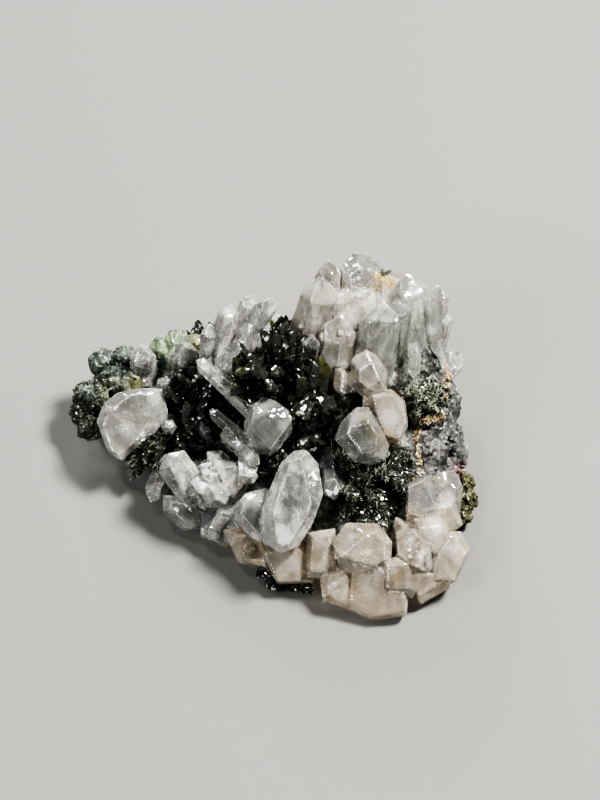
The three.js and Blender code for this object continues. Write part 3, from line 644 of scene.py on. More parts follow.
# Quartz. One finish for each kind, and every piece says which way its crystals grow.
# transmission, absorb, density: the light it lets through, and the tint and strength of what it takes up
# bright, dull, deep: its colours where clear light, cloud or dark shows in it; deep is also its painted shade
# pane, depth: size of the darker panes, painted reflections of the sides behind, and how strong they are
# edge, seam: how white worn edges are, partly a painted highlight, and the painted highlight lines between
# panes
# cloud, patch: size of the clouds, and of the smooth and rough patches
# smooth, rough: roughness of these patches; mirror, mirrorSize: slope and size of small flat pieces
# line, fine: depth of the growth lines and of the grain. Sizes and depths are in mm.
quartzKinds = {
    "lit": {
        "transmission": 0.80, "absorb": (0.90, 0.90, 0.87), "density": 70,
        "bright": (0.86, 0.85, 0.82), "dull": (0.60, 0.595, 0.575), "deep": (0.16, 0.165, 0.165),
        "pane": 1.2, "depth": 0.45, "edge": 0.9, "seam": 0.75, "cloud": 2.6, "patch": 1.6,
        "smooth": 0.01, "rough": 0.06, "mirror": 0.08, "mirrorSize": 1.2, "line": 0.010, "fine": 0.0015,
    },
    "glassy": {
        "transmission": 0.88, "absorb": (0.89, 0.89, 0.86), "density": 80,
        "bright": (0.99, 0.99, 0.97), "dull": (0.70, 0.71, 0.69), "deep": (0.20, 0.21, 0.21),
        "pane": 1.2, "depth": 0.48, "edge": 0.85, "seam": 0.7, "cloud": 2.6, "patch": 1.6,
        "smooth": 0.01, "rough": 0.06, "mirror": 0.10, "mirrorSize": 1.1, "line": 0.010, "fine": 0.0015,
    },
    "frosty": {
        "transmission": 0.84, "absorb": (0.88, 0.87, 0.82), "density": 90,
        "bright": (1.0, 0.99, 0.96), "dull": (0.74, 0.73, 0.70), "deep": (0.22, 0.21, 0.20),
        "pane": 1.0, "depth": 0.50, "edge": 0.8, "seam": 0.6, "cloud": 1.8, "patch": 1.0,
        "smooth": 0.02, "rough": 0.10, "mirror": 0.14, "mirrorSize": 0.90, "line": 0.012, "fine": 0.002,
    },
    "icy": {
        "transmission": 0.79, "absorb": (0.90, 0.90, 0.87), "density": 70,
        "bright": (1.0, 0.985, 0.95), "dull": (0.72, 0.71, 0.68), "deep": (0.20, 0.20, 0.19),
        "pane": 0.8, "depth": 0.34, "edge": 0.85, "seam": 0.75, "cloud": 1.8, "patch": 1.0,
        "smooth": 0.015, "rough": 0.06, "mirror": 0.34, "mirrorSize": 0.80, "line": 0.012, "fine": 0.0015,
    },
    "grey": {
        "transmission": 0.85, "absorb": (0.87, 0.86, 0.79), "density": 100,
        "bright": (0.96, 0.96, 0.92), "dull": (0.66, 0.67, 0.63), "deep": (0.22, 0.23, 0.21),
        "pane": 1.3, "depth": 0.55, "edge": 0.7, "seam": 0.5, "cloud": 2.8, "patch": 1.8,
        "smooth": 0.02, "rough": 0.10, "mirror": 0.07, "mirrorSize": 1.2, "line": 0.012, "fine": 0.0015,
    },
    "milky": {
        "transmission": 0.82, "absorb": (0.88, 0.86, 0.80), "density": 140,
        "bright": (1.0, 0.99, 0.95), "dull": (0.52, 0.52, 0.49), "deep": (0.28, 0.28, 0.26),
        "pane": 1.1, "depth": 0.40, "edge": 0.75, "seam": 0.5, "cloud": 1.2, "patch": 1.0,
        "smooth": 0.03, "rough": 0.14, "mirror": 0.08, "mirrorSize": 1.0, "line": 0.008, "fine": 0.003,
    },
    "warm": {
        "transmission": 0.83, "absorb": (0.90, 0.87, 0.80), "density": 80,
        "bright": (1.0, 0.97, 0.91), "dull": (0.70, 0.665, 0.595), "deep": (0.29, 0.27, 0.23),
        "pane": 1.3, "depth": 0.45, "edge": 0.75, "seam": 0.55, "cloud": 2.0, "patch": 1.2,
        "smooth": 0.02, "rough": 0.12, "mirror": 0.09, "mirrorSize": 1.0, "line": 0.012, "fine": 0.002,
    },
    "beige": {
        "transmission": 0.82, "absorb": (0.88, 0.81, 0.68), "density": 120,
        "bright": (0.93, 0.875, 0.795), "dull": (0.70, 0.635, 0.53), "deep": (0.38, 0.325, 0.24),
        "pane": 1.4, "depth": 0.40, "edge": 0.5, "seam": 0.28, "cloud": 1.6, "patch": 1.3,
        "smooth": 0.02, "rough": 0.12, "mirror": 0.05, "mirrorSize": 1.5, "line": 0.008, "fine": 0.002,
    },
}

# the kind, the way of growth as seen, and the slot
quartzPieces = {
    "quartz_front_pair": ("lit", (-0.15, 0.95, 0.3), "clear_quartz"),
    "quartz_grey_knob": ("grey", (0.2, 0.3, 0.9), "clear_quartz"),
    "quartz_beige_front": ("beige", (0.1, 0.8, 0.5), "milky_quartz"),
    "quartz_centre_group": ("grey", (-0.6, 0.6, 0.4), "clear_quartz"),
    "quartz_shadow_point": ("glassy", (0.05, 0.9, 0.3), "clear_quartz"),
    "quartz_lower_left": ("icy", (-0.3, 0.6, 0.6), "clear_quartz"),
    "quartz_front_crust": ("beige", (0.1, 0.6, 0.6), "milky_quartz"),
    "quartz_left_plate": ("milky", (0.5, 0.5, 0.7), "clear_quartz"),
    "quartz_crown": ("warm", (-0.1, 0.9, 0.4), "milky_quartz"),
    "quartz_right_points": ("grey", (0.2, 0.9, 0.3), "clear_quartz"),
    "quartz_right_pair": ("frosty", (0.4, 0.8, 0.3), "clear_quartz"),
    "quartz_left_fan": ("icy", (0.45, 0.85, 0.3), "clear_quartz"),
    "quartz_bead_by_spray": ("glassy", (0.1, 0.7, 0.6), "clear_quartz"),
    "quartz_bead_left": ("glassy", (0.2, 0.2, 0.9), "clear_quartz"),
    "quartz_chip_left": ("frosty", (0.2, 0.6, 0.7), "clear_quartz"),
    "quartz_pyramid_left": ("grey", (0.0, 0.8, 0.5), "clear_quartz"),
    "quartz_sparkle_left": ("icy", (0.0, 0.5, 0.8), "clear_quartz"),
    "quartz_hollow_middle": ("glassy", (-0.2, 0.6, 0.7), "clear_quartz"),
    "quartz_hollow_left": ("glassy", (0.0, 0.6, 0.7), "clear_quartz"),
    "quartz_dim_foot": ("frosty", (0.0, 0.2, 0.9), "clear_quartz"),
    "quartz_back_peak": ("frosty", (0.1, 0.8, -0.5), "clear_quartz"),
    "quartz_back_shoulder": ("frosty", (0.4, 0.8, -0.4), "clear_quartz"),
    "quartz_back_middle": ("warm", (0.0, 0.4, -0.9), "clear_quartz"),
    "quartz_back_left": ("frosty", (-0.3, 0.6, -0.7), "clear_quartz"),
    "quartz_back_low": ("beige", (0.3, 0.2, -0.9), "clear_quartz"),
    "quartz_back_foot": ("warm", (0.1, 0.1, -1.0), "clear_quartz"),
    "quartz_side_low": ("frosty", (0.9, 0.2, -0.2), "clear_quartz"),
    "quartz_wing_back": ("frosty", (-0.4, 0.5, -0.8), "clear_quartz"),
}


# what every quartz finish shares, with sizes in mm
quartzLook = {
    "ior": 1.544,
    # grey: the colour of the grey marks, partly painted shade; pale: that of the painted light at the pale
    # marks
    "grey": (0.30, 0.31, 0.31),
    "pale": (1.0, 0.99, 0.97),
    # edges are whitened for wear and with a painted highlight along them
    "wearAndHighlight": (1.0, 0.995, 0.985),                            # worn edges
    "wearAndHighlightSize": 1.1,                                        # of the stretches where they are whiter
    # the seam lines are a painted highlight between the painted panes
    "seam": (1.0, 1.0, 0.99),                               # lines between the panes
    "seamWidth": 0.045,                                     # for panes of 1
    "seamBreak": 0.9,                                       # size of the gaps in the lines
    "stain": ((0.38, 0.26, 0.08), (0.66, 0.54, 0.22)),      # iron, darker and lighter
    "stainSize": 0.5,
    "green": (0.14, 0.20, 0.13),                            # chlorite dust
    "frosted": 0.34,                                        # how much rougher frost and worn edges are
    "spark": (0.36, 0.5),                                   # size and slope of the pieces that sparkle
    "drawn": 5,                                             # how far growth lines are drawn out
    "lineSize": 0.35,                                       # across the growth lines
    # the dark streaks are painted inner reflections along the growth
    "streak": 0.45,                                         # how strong the dark streaks along them are
    "streakSize": 0.7,                                      # across the streaks
    "inner": 1.8,                                           # how far panes are drawn out
    "innerWarp": (1.3, 0.55),                               # size and amount of their bends
    "fineSize": 0.16,                                       # of the grain
}


def quartzFinish(name, kind, way):
    look = quartzKinds[kind]
    material, tree, shader = newMaterial(name)
    place = objectPlace(tree)
    drawn = stretchedPlace(tree, place, seenWay(*way), quartzLook["drawn"])
    inner = stretchedPlace(tree, place, seenWay(*way), quartzLook["inner"])
    inner = warped(tree, inner, *quartzLook["innerWarp"])

    # clouds, and dark streaks along the way it grows, a painted reflection from inside the crystal
    clouds = noise(tree, place, look["cloud"], 4, 0.55, 0.4)
    body = ramp(tree, clouds, [(0.38, look["dull"]), (0.62, look["bright"])])
    streaks = noise(tree, drawn, quartzLook["streakSize"], 2, 0.5)
    streaks = ramp(tree, streaks, [(0.40, quartzLook["streak"]), (0.50, 0.0)])
    body = blend(tree, streaks, body, look["deep"])

    # painted reflection: the sides behind show through as darker panes, with painted highlight lines between
    # them
    panes = cellsAt(tree, inner, look["pane"], "F1", "Color")
    body = blend(tree, ramp(tree, panes, [(0.36, look["depth"]), (0.56, 0.0)]), body, look["deep"])
    seams = cellsAt(tree, inner, look["pane"], "DISTANCE_TO_EDGE")
    seams = ramp(tree, seams, [(0.0, look["seam"]), (quartzLook["seamWidth"], 0.0)])
    broken = ramp(tree, noise(tree, place, quartzLook["seamBreak"], 2), [(0.46, 0.0), (0.56, 1.0)])
    body = blend(tree, maths(tree, "MULTIPLY", seams, broken), body, quartzLook["seam"])

    # some flat faces are darker, edges are worn white with a painted highlight, and marks lie where
    # the photo has them, painting light and shade
    darker = ramp(tree, attribute(tree, "face"), [(0.25, look["depth"]), (0.75, 0.0)])
    body = blend(tree, darker, body, look["deep"])
    # edge: white in stretches along sharp edges, real wear and a painted highlight
    uneven = ramp(tree, noise(tree, place, quartzLook["wearAndHighlightSize"], 3), [(0.38, 0.15), (0.56, look["edge"])])
    edge = ramp(tree, attribute(tree, "rim"), [(0.25, 0.0), (0.85, 1.0)])
    edge = maths(tree, "MULTIPLY", edge, uneven)
    # painted shade at the deep marks, greyer glass and painted shade at the grey marks, painted light at the
    # pale
    body = blend(tree, attribute(tree, "deep"), body, look["deep"])
    body = blend(tree, attribute(tree, "grey"), body, quartzLook["grey"])
    body = blend(tree, attribute(tree, "pale"), body, quartzLook["pale"])
    body = blend(tree, edge, body, quartzLook["wearAndHighlight"])
    stain = blend(tree, noise(tree, place, quartzLook["stainSize"], 3), *quartzLook["stain"])
    body = blend(tree, attribute(tree, "stain"), body, stain)
    body = blend(tree, attribute(tree, "green"), body, quartzLook["green"])
    connect(tree, body, shader.inputs["Base Color"])

    # roughness, the light inside, and the relief of the faces
    patches = noise(tree, place, look["patch"], 3, 0.55)
    patches = ramp(tree, patches, [(0.42, look["smooth"]), (0.62, look["rough"])])
    rougher = maths(tree, "MAXIMUM", edge, attribute(tree, "frost"))
    rougher = maths(tree, "MULTIPLY", rougher, quartzLook["frosted"])
    connect(tree, maths(tree, "ADD", patches, rougher), shader.inputs["Roughness"])
    shader.inputs["IOR"].default_value = quartzLook["ior"]
    shader.inputs["Transmission Weight"].default_value = look["transmission"]
    inside = add(tree, "VolumeAbsorption", {"Color": (*look["absorb"], 1), "Density": look["density"]})
    output = shader.outputs["BSDF"].links[0].to_node
    connect(tree, inside.outputs["Volume"], output.inputs["Volume"])
    normal = facets(tree, place, look["mirrorSize"], look["mirror"])
    normal = facets(tree, place, *quartzLook["spark"], normal, attribute(tree, "spark"))
    normal = bump(tree, noise(tree, drawn, quartzLook["lineSize"], 2, 0.5), look["line"], normal)
    normal = bump(tree, noise(tree, place, quartzLook["fineSize"], 3, 0.6), look["fine"], normal)
    connect(tree, normal, shader.inputs["Normal"])
    return material


crystalWear = {
    "swell": 0.12,         # mm, each crystal stands this much proud of its solid
    "edge": 0.30,          # mm, the longest edge of the finished skin
    "smallEdge": 0.26,     # mm, the same for the small points on it
    "wave": 0.020,         # mm, how uneven a face is
    "waveSize": 2.2,       # mm
    "rim": (0.02, 0.08),   # mm, how far edges are worn back
    # from this angle on, an edge also gets the painted highlight
    "sharpAngle": 36,      # degrees between two faces, from which their edge is worn white
}

# stains of iron between the crystals, and green dust: right, up, radius in mm as seen
ironSpots = [
    (8.5, 12.2, 0.9), (8.3, 12.0, 0.5), (-6.3, -14.6, 1.1), (-4.2, -15.0, 0.7), (8.2, -3.8, 1.2),
    (0.6, -14.8, 1.0), (6.6, -13.4, 0.8), (9.6, -17.6, 0.7), (5.2, -18.4, 0.6), (6.4, -2.0, 0.8),
    (-6.2, -8.6, 0.5),
]
yellowSpots = [(8.3, 12.0, 0.5), (8.9, 11.6, 0.4), (7.8, 11.0, 0.4), (4.6, 9.4, 0.2), (6.4, 8.8, 0.2)]
greenSpots = [
    (9.9, 5.0, 0.8), (10.4, 4.0, 0.7), (8.3, 12.7, 0.5), (5.2, 3.4, 0.5), (-11.5, 1.2, 0.9),
    (-2.8, -13.5, 0.6), (3.2, -11.2, 0.7), (-9.2, 8.2, 0.4),
]


# where a piece is pale (painted light), deep (painted shade and dark reflections, and a few dark
# inclusions), grey (greyer glass, partly painted shade), frosted or sparkling: right, up, radius in mm as
# seen
crystalMarks = {
    "quartz_front_pair": {
        "pale": [
            (-2.0, -13.9, 1.5), (-0.8, -14.2, 0.9), (0.6, -13.2, 0.7), (1.2, -12.2, 0.55),
            (1.7, -11.2, 0.45), (2.0, -10.3, 0.35), (2.2, -9.3, 0.3), (0.9, -6.3, 0.6), (-0.6, -6.6, 0.4),
            (-5.9, -11.8, 0.35), (-5.6, -12.8, 0.3), (-4.6, -13.8, 0.5), (-4.2, -10.0, 0.25),
            (-2.6, -8.6, 0.3), (-3.0, -11.4, 0.3),
        ],
        "deep": [
            (-1.0, -10.2, 0.9), (-0.4, -9.0, 0.6), (-1.4, -11.6, 0.5), (-4.7, -11.4, 0.9),
            (-4.3, -12.4, 0.6), (0.2, -8.0, 0.3), (-2.0, -9.4, 0.2),
        ],
        "frost": [(-1.6, -14.0, 1.3), (0.6, -13.2, 0.6), (1.7, -11.4, 0.4), (0.9, -6.3, 0.5)],
        "spark": [(-5.8, -12.6, 0.5), (0.2, -12.6, 0.4), (-3.4, -13.6, 0.4)],
    },
    "quartz_centre_group": {
        "pale": [
            (-9.4, 3.1, 0.4), (-8.2, 2.0, 0.4), (-7.0, 0.9, 0.4), (-5.8, -0.2, 0.4), (-6.2, -4.4, 0.7),
            (-5.2, -5.4, 0.6), (-1.2, -1.1, 0.3), (-0.6, -1.7, 0.3),
        ],
        "deep": [(-3.4, -2.6, 1.2), (-2.4, -3.8, 0.8), (-8.0, -2.8, 0.6)],
        "grey": [(-2.0, -1.0, 1.0), (-3.2, -2.6, 1.2), (-2.6, -4.4, 0.8), (-4.2, -3.6, 0.5)],
        "spark": [(-6.2, -4.4, 0.9), (-8.2, 2.0, 0.5), (-2.0, -4.2, 0.5), (-4.2, -1.2, 0.4)],
    },
    "quartz_crown": {
        "pale": [
            (4.4, 10.0, 1.1), (6.2, 9.8, 1.2), (5.0, 8.6, 1.0), (7.6, 8.6, 0.8), (1.6, 11.0, 0.3),
            (2.3, 10.2, 0.25), (1.6, 9.8, 0.1), (1.5, 9.1, 0.1), (1.4, 8.4, 0.1), (1.3, 7.7, 0.1),
            (1.2, 7.0, 0.1), (-0.2, 9.4, 0.3), (2.9, 9.2, 0.2), (3.0, 3.8, 0.5), (4.4, 7.5, 0.15),
            (5.2, 6.6, 0.2),
        ],
        "deep": [
            (0.9, 10.2, 0.1), (0.8, 9.5, 0.1), (0.7, 8.8, 0.1), (0.6, 8.1, 0.1), (0.5, 7.4, 0.1),
            (0.4, 6.7, 0.1), (2.2, 9.4, 0.1), (2.1, 8.7, 0.1), (2.0, 8.0, 0.1), (1.9, 7.3, 0.1),
            (-1.2, 6.0, 0.5), (-0.8, 7.6, 0.2), (2.8, 12.6, 1.0), (5.0, 12.0, 0.5), (3.1, 7.4, 0.2),
            (3.7, 7.9, 0.2), (4.4, 8.1, 0.2), (5.1, 7.8, 0.2), (5.6, 7.2, 0.2), (4.0, 6.9, 0.15),
            (4.7, 7.0, 0.15),
        ],
        "grey": [(6.2, 13.0, 1.8), (2.8, 12.8, 0.8), (5.4, 11.6, 0.6)],
        "frost": [(5.2, 9.2, 1.8), (3.4, 4.6, 1.6), (7.6, 9.4, 1.4)],
        "spark": [(6.0, 13.0, 1.6), (5.0, 9.4, 1.6), (3.2, 12.4, 0.9), (6.8, 10.8, 1.2)],
    },
    "quartz_right_points": {
        "pale": [(11.6, 10.8, 0.8), (12.2, 9.6, 0.7), (8.4, 9.2, 0.25), (7.2, 8.2, 0.25), (13.0, 7.0, 0.5)],
        "deep": [
            (7.4, 7.4, 0.1), (7.3, 6.6, 0.1), (7.2, 5.8, 0.2), (7.1, 5.0, 0.2), (9.5, 7.4, 0.1),
            (9.6, 6.6, 0.2), (9.7, 5.8, 0.2), (11.0, 7.6, 0.1), (11.0, 6.8, 0.1), (11.1, 6.0, 0.2),
            (13.8, 6.4, 0.4), (6.4, 4.2, 0.5),
        ],
        "frost": [(11.6, 10.6, 1.3)],
        "spark": [(11.6, 10.4, 1.3), (12.0, 3.4, 0.6)],
    },
    "quartz_left_fan": {
        "pale": [
            (-7.2, 8.6, 0.5), (-4.8, 9.6, 0.4), (-5.4, 3.6, 0.6), (-6.6, 4.4, 0.3), (-2.8, 8.9, 0.25),
            (-7.8, 3.0, 0.4), (-5.9, 6.9, 0.2), (-4.2, 6.6, 0.3),
        ],
        "deep": [
            (-4.9, 8.2, 0.1), (-5.5, 7.3, 0.1), (-6.1, 6.2, 0.1), (-6.7, 5.1, 0.1), (-7.2, 4.0, 0.1),
            (-5.0, 4.9, 0.1), (-5.8, 4.0, 0.1), (-8.8, 4.6, 0.5), (-9.2, 6.0, 0.4),
        ],
        "grey": [(-4.4, 8.6, 0.8), (-3.4, 9.2, 0.6), (-5.0, 7.8, 0.5), (-3.2, 7.8, 0.5), (-3.9, 6.8, 0.4)],
    },
    "quartz_left_plate": {
        "pale": [
            (-19.8, -3.2, 0.3), (-19.0, -4.6, 0.3), (-18.2, -5.4, 0.4), (-14.6, 0.2, 0.7),
            (-16.0, -4.4, 0.3),
        ],
        "deep": [
            (-16.5, -2.1, 0.35), (-18.2, -3.8, 0.6), (-17.6, -0.4, 0.6), (-19.0, -1.6, 0.6),
            (-17.2, -4.6, 0.5),
        ],
        "spark": [(-16.5, -2.1, 0.4)],
    },
    "quartz_grey_knob": {
        "pale": [(5.0, -5.4, 0.3), (6.2, -6.0, 0.3), (7.6, -5.6, 0.3), (4.4, -1.8, 0.3)],
        "deep": [(6.2, -3.2, 1.2), (5.0, -3.8, 0.6)],
    },
    "quartz_sparkle_left": {
        "deep": [(-15.8, 3.2, 0.9)],
        "spark": [(-15.8, 3.6, 0.8)],
    },
    "quartz_beige_front": {
        "pale": [(8.8, -1.8, 0.9), (7.6, 0.6, 0.3), (9.8, -3.0, 0.5)],
        "deep": [(6.6, 2.4, 0.8), (8.6, 1.2, 0.5), (7.0, -0.4, 0.5)],
        "grey": [(6.6, 3.2, 1.0), (7.5, 2.2, 0.8), (5.6, 1.2, 0.6), (4.6, 1.0, 0.5), (8.2, 2.8, 0.4)],
        "frost": [(8.8, -2.0, 1.4)],
    },
    "quartz_front_crust": {
        "pale": [
            (12.2, -15.2, 0.6), (13.0, -16.2, 0.5), (13.2, -12.6, 1.0), (14.6, -9.8, 0.8),
            (15.2, -14.6, 0.6), (11.0, -13.8, 0.4), (5.0, -13.4, 0.3), (8.6, -15.6, 0.3),
            (10.6, -19.2, 0.5),
        ],
        "deep": [
            (5.2, -14.5, 0.05), (5.5, -14.3, 0.05), (-4.4, -14.9, 0.9), (1.6, -15.6, 0.6),
            (5.4, -17.8, 0.6), (8.6, -18.0, 0.7), (3.2, -17.4, 0.5), (11.0, -15.6, 0.4), (-1.0, -17.6, 0.6),
        ],
        "grey": [
            (11.6, -9.0, 1.6), (13.4, -8.4, 1.6), (15.4, -8.4, 1.4), (12.6, -10.2, 1.2), (15.6, -10.6, 0.6),
        ],
        "frost": [(13.2, -12.6, 1.0), (14.6, -9.8, 0.9)],
        "spark": [(11.8, -15.2, 1.7), (3.6, -18.4, 0.7), (10.6, -12.0, 0.8)],
    },
    "quartz_lower_left": {
        "pale": [
            (-8.6, -6.8, 0.9), (-7.4, -8.0, 0.9), (-5.6, -7.0, 0.8), (-12.6, -6.0, 0.6), (-9.4, -8.6, 0.8),
            (-6.4, -8.6, 0.6), (-11.2, -6.6, 0.4), (-10.4, -8.0, 0.5),
        ],
        "deep": [(-12.4, -8.4, 0.6), (-9.4, -11.8, 1.2), (-7.6, -12.6, 0.9), (-11.0, -11.0, 0.7)],
        "grey": [(-6.6, -10.2, 0.6), (-7.0, -11.2, 0.6), (-9.0, -12.0, 1.0)],
        "frost": [(-7.4, -8.0, 0.8), (-12.6, -6.0, 0.5)],
        "spark": [(-8.6, -7.4, 1.1), (-7.2, -8.6, 1.0), (-6.0, -8.0, 0.9), (-12.2, -6.6, 0.5)],
    },
}


# how much of each mark a point takes: pale is painted light, deep and grey painted shade, then frost and
# sparkle
def markShares(points, marks):
    uneven = 0.7 + 0.8 * roughNoise(points, 0.9, 3, 430)
    return {
        mark: np.clip(near(points, marks.get(mark, []), 0.5) * uneven, 0, 0.9)
        for mark in ("pale", "deep", "grey", "frost", "spark")
    }


def ironStain(points, broken):
    weak = np.clip(near(points, ironSpots, 0.9) * broken * 0.5, 0, 0.45)
    return np.maximum(weak, np.clip(near(points, yellowSpots, 0.8) * broken * 1.4, 0, 0.9))


def greenDust(points, broken):
    return np.clip(near(points, greenSpots, 0.9) * broken, 0, 0.9)


def skinValues(node, points, evenness, rim, tones):  # all that a quartz finish reads at the points
    broken = evenness + 0.9 * roughNoise(points, 0.8, 3, 400)
    return {
        "stain": ironStain(points, broken),
        "green": greenDust(points, broken),
        "rim": rim,
        "face": tones,
        **markShares(points, crystalMarks.get(node, {})),
    }


def wornCrystal(node, seed):
    points, triangles = cadSurface(node)
    points = swollen(points, triangles, crystalWear["swell"])
    points, triangles = refined(points, triangles, crystalWear["edge"])
    rim = rimOf(points, triangles)
    sharpest = rimOf(points, triangles, crystalWear["sharpAngle"])
    tones = faceTones(points, triangles)
    normals = pointNormals(points, triangles)
    low, high = crystalWear["rim"]
    wear = rim * (low + (high - low) * (0.5 + 0.5 * roughNoise(points, 0.9, 2, seed)))
    wave = crystalWear["wave"] * roughNoise(points, crystalWear["waveSize"], 3, seed + 50) * (1 - 0.5 * rim)
    points = points + normals * ((wave - wear) * mm)[:, None]
    points[:, 2] = np.maximum(points[:, 2], 0)
    return (points, triangles), skinValues(node, points, 0.5, sharpest, tones)


# small points grown on some of the pieces: how many are tried, their width in mm, their length for a
# width of 1, how unevenly they stand, and the spots where they are kept (right, up, radius)
pointBeds = {
    "quartz_lower_left": {
        "count": 84, "width": (1.0, 2.3), "slender": (1.0, 1.6), "spread": 0.8,
        "spots": [(-8.0, -8.0, 2.2), (-5.8, -7.2, 1.4), (-9.4, -9.8, 1.2), (-6.4, -9.8, 1.2)],
    },
    "quartz_crown": {
        "count": 70, "width": (0.35, 0.80), "slender": (0.8, 1.3), "spread": 0.4,
        "spots": [(6.0, 13.4, 1.4), (4.2, 7.2, 1.2)],
    },
    "quartz_right_points": {
        "count": 40, "width": (0.35, 0.75), "slender": (0.8, 1.4), "spread": 0.4,
        "spots": [(11.2, 11.2, 1.0)],
    },
    "quartz_front_crust": {
        "count": 70, "width": (0.9, 2.0), "slender": (1.0, 1.7), "spread": 0.4,
        "spots": [
            (11.5, -14.6, 2.0), (12.6, -16.6, 1.2), (10.2, -12.4, 1.0), (14.8, -9.4, 1.2),
            (3.0, -16.6, 0.7), (-4.5, -14.4, 1.0),
        ],
    },
}

# thick crystals that stand side by side: right and up of the foot and of the tip, how far the tip
# leans out, width and thickness, in mm
pointGroups = {
    "quartz_left_fan": [
        (-7.3, 1.8, -3.2, 9.5, 0.5, 2.1, 1.5), (-6.0, 1.4, -2.1, 8.5, 0.7, 1.6, 1.3),
        (-8.3, 2.8, -5.0, 9.9, 0.2, 1.7, 1.4), (-8.9, 4.2, -7.0, 9.2, 0.3, 2.0, 1.5),
        (-9.4, 3.6, -8.8, 7.4, 0.4, 1.5, 1.2), (-6.6, 1.2, -4.4, 4.6, 1.3, 1.5, 1.2),
        (-5.2, 3.2, -2.6, 6.6, 0.9, 1.3, 1.0),
    ],
}


def grownOn(node, surface, way, random):  # the small points or thick bars that grow on a piece, or None
    if node in pointBeds:
        bed = dict(pointBeds[node], way=way)
        points = pointsOn(surface, bed, random, lambda places, outwards: near(places, bed["spots"]))
        return refined(*points, crystalWear["smallEdge"])
    if node in pointGroups:
        bars = standing(surface, pointGroups[node], prismShape, 1.0)
        return refined(*bars, crystalWear["edge"])
    return None


quartzSurfaces = {}
random = np.random.default_rng(10)
for number, (node, (kind, way, slot)) in enumerate(quartzPieces.items()):
    surface, values = wornCrystal(node, 11 * number)
    quartzSurfaces[node] = surface
    growth = grownOn(node, surface, way, random)
    if growth:
        rim = rimOf(*growth, crystalWear["sharpAngle"])
        more = skinValues(node, growth[0], 0.4, rim, faceTones(*growth))
        values = {value: np.concatenate([values[value], more[value]]) for value in values}
        surface = joined(surface, growth)
    mesh = buildMesh(node + "_grown", *surface, values=values, sharp=9)
    showPiece(node + "_grown", mesh, quartzFinish(node + "_finish", kind, way), [node])
print("quartz grown")


# Veils: clouds of tiny white motes on bent sheets inside the clear crystals
# Each sheet: right, up, mm under the surface, half length, half width, the way it faces, motes

veils = {
    "quartz_front_pair": [
        (-0.6, -10.0, 1.8, 1.6, 1.2, (0.5, 0.2, 0.8), 200),
        (-1.4, -12.2, 1.6, 1.4, 1.0, (-0.4, 0.3, 0.9), 150),
        (0.6, -6.6, 1.2, 1.2, 0.5, (0.2, 0.6, 0.8), 90), (-4.6, -10.6, 1.3, 1.2, 0.5, (-0.3, 0.1, 0.9), 70),
        (-1.5, -13.3, 0.4, 1.0, 0.7, (0.1, 0.3, 0.9), 420),
        (0.3, -11.8, 0.9, 0.7, 0.25, (0.4, 0.1, 0.9), 60),
    ],
    "quartz_centre_group": [
        (-3.2, -2.4, 1.2, 1.4, 0.8, (0.3, 0.4, 0.8), 110), (-6.8, 1.0, 0.5, 1.7, 0.3, (0.4, 0.7, 0.6), 120),
    ],
    "quartz_left_plate": [(-16.8, -2.4, 0.9, 1.8, 1.2, (0.2, 0.2, 0.9), 200)],
    "quartz_left_fan": [
        (-5.0, 5.4, 0.9, 2.4, 0.4, (0.8, -0.3, 0.5), 110), (-7.0, 6.0, 0.9, 2.0, 0.4, (0.7, -0.5, 0.5), 80),
    ],
    "quartz_grey_knob": [(6.0, -3.8, 1.2, 1.3, 0.9, (0.2, 0.3, 0.9), 110)],
    "quartz_right_points": [
        (8.0, 6.4, 1.2, 2.0, 0.5, (-0.4, 0.2, 0.9), 110), (10.8, 7.0, 1.2, 2.4, 0.6, (0.4, 0.2, 0.9), 130),
    ],
    "quartz_crown": [
        (0.4, 7.6, 1.2, 2.4, 0.6, (-0.5, 0.1, 0.8), 120), (3.4, 4.4, 1.2, 1.6, 0.8, (0.3, 0.3, 0.9), 90),
    ],
    "quartz_front_crust": [
        (6.2, -14.6, 1.3, 1.6, 1.2, (0.2, 0.3, 0.9), 45), (13.0, -12.6, 1.1, 1.4, 1.0, (0.2, 0.3, 0.9), 90),
        (8.2, -18.6, 1.1, 1.5, 1.1, (0.2, 0.3, 0.9), 90), (-0.6, -17.0, 1.1, 1.6, 0.8, (0.1, 0.3, 0.9), 80),
    ],
    "quartz_lower_left": [(-12.0, -8.2, 1.0, 1.3, 0.9, (0.3, 0.3, 0.9), 90)],
    "quartz_shadow_point": [(3.2, -6.8, 0.8, 1.6, 0.5, (0.1, 0.4, 0.9), 60)],
}


veilLook = {
    "tried": 3,               # places for every mote, of which the densest are kept
    "bend": 0.35,             # mm
    "ruffle": 0.05,           # mm
    "mote": (0.03, 0.09),     # mm
    "colours": ((0.80, 0.81, 0.82), (0.98, 0.98, 0.97)),
    "roughness": 0.35,
}


def veilMotes(surface, veil, random):
    # A disc of u and v, bent like a saddle and ruffled; motes gather where the noise is high
    right, up, under, length, width, facing, count = veil
    middle = seen(right, up, frontOf(surface, right, up) - under)
    sheet = framesAlong(seenWay(*facing)[None], np.array([1.2]))[0]
    tried = count * veilLook["tried"]
    radius, turn = np.sqrt(random.random(tried)), random.random(tried) * 2 * np.pi
    u, v = radius * np.cos(turn), radius * np.sin(turn)
    bend = veilLook["bend"] * (u * u - v * v) + random.normal(0, veilLook["ruffle"], tried)
    places = middle + (np.stack([bend, u * length, v * width], axis=1) @ sheet.T) * mm
    dense = np.argsort(-roughNoise(places, 0.9, 3, 300) - 0.25 * random.random(tried))[:count]
    sizes = between(random, veilLook["mote"], count)[:, None] * [[0.5, 1, 1]]
    turned = framesAlong(random.normal(0, 1, (count, 3)), random.random(count))
    return repeated(moteShape, places[dense], turned, sizes)


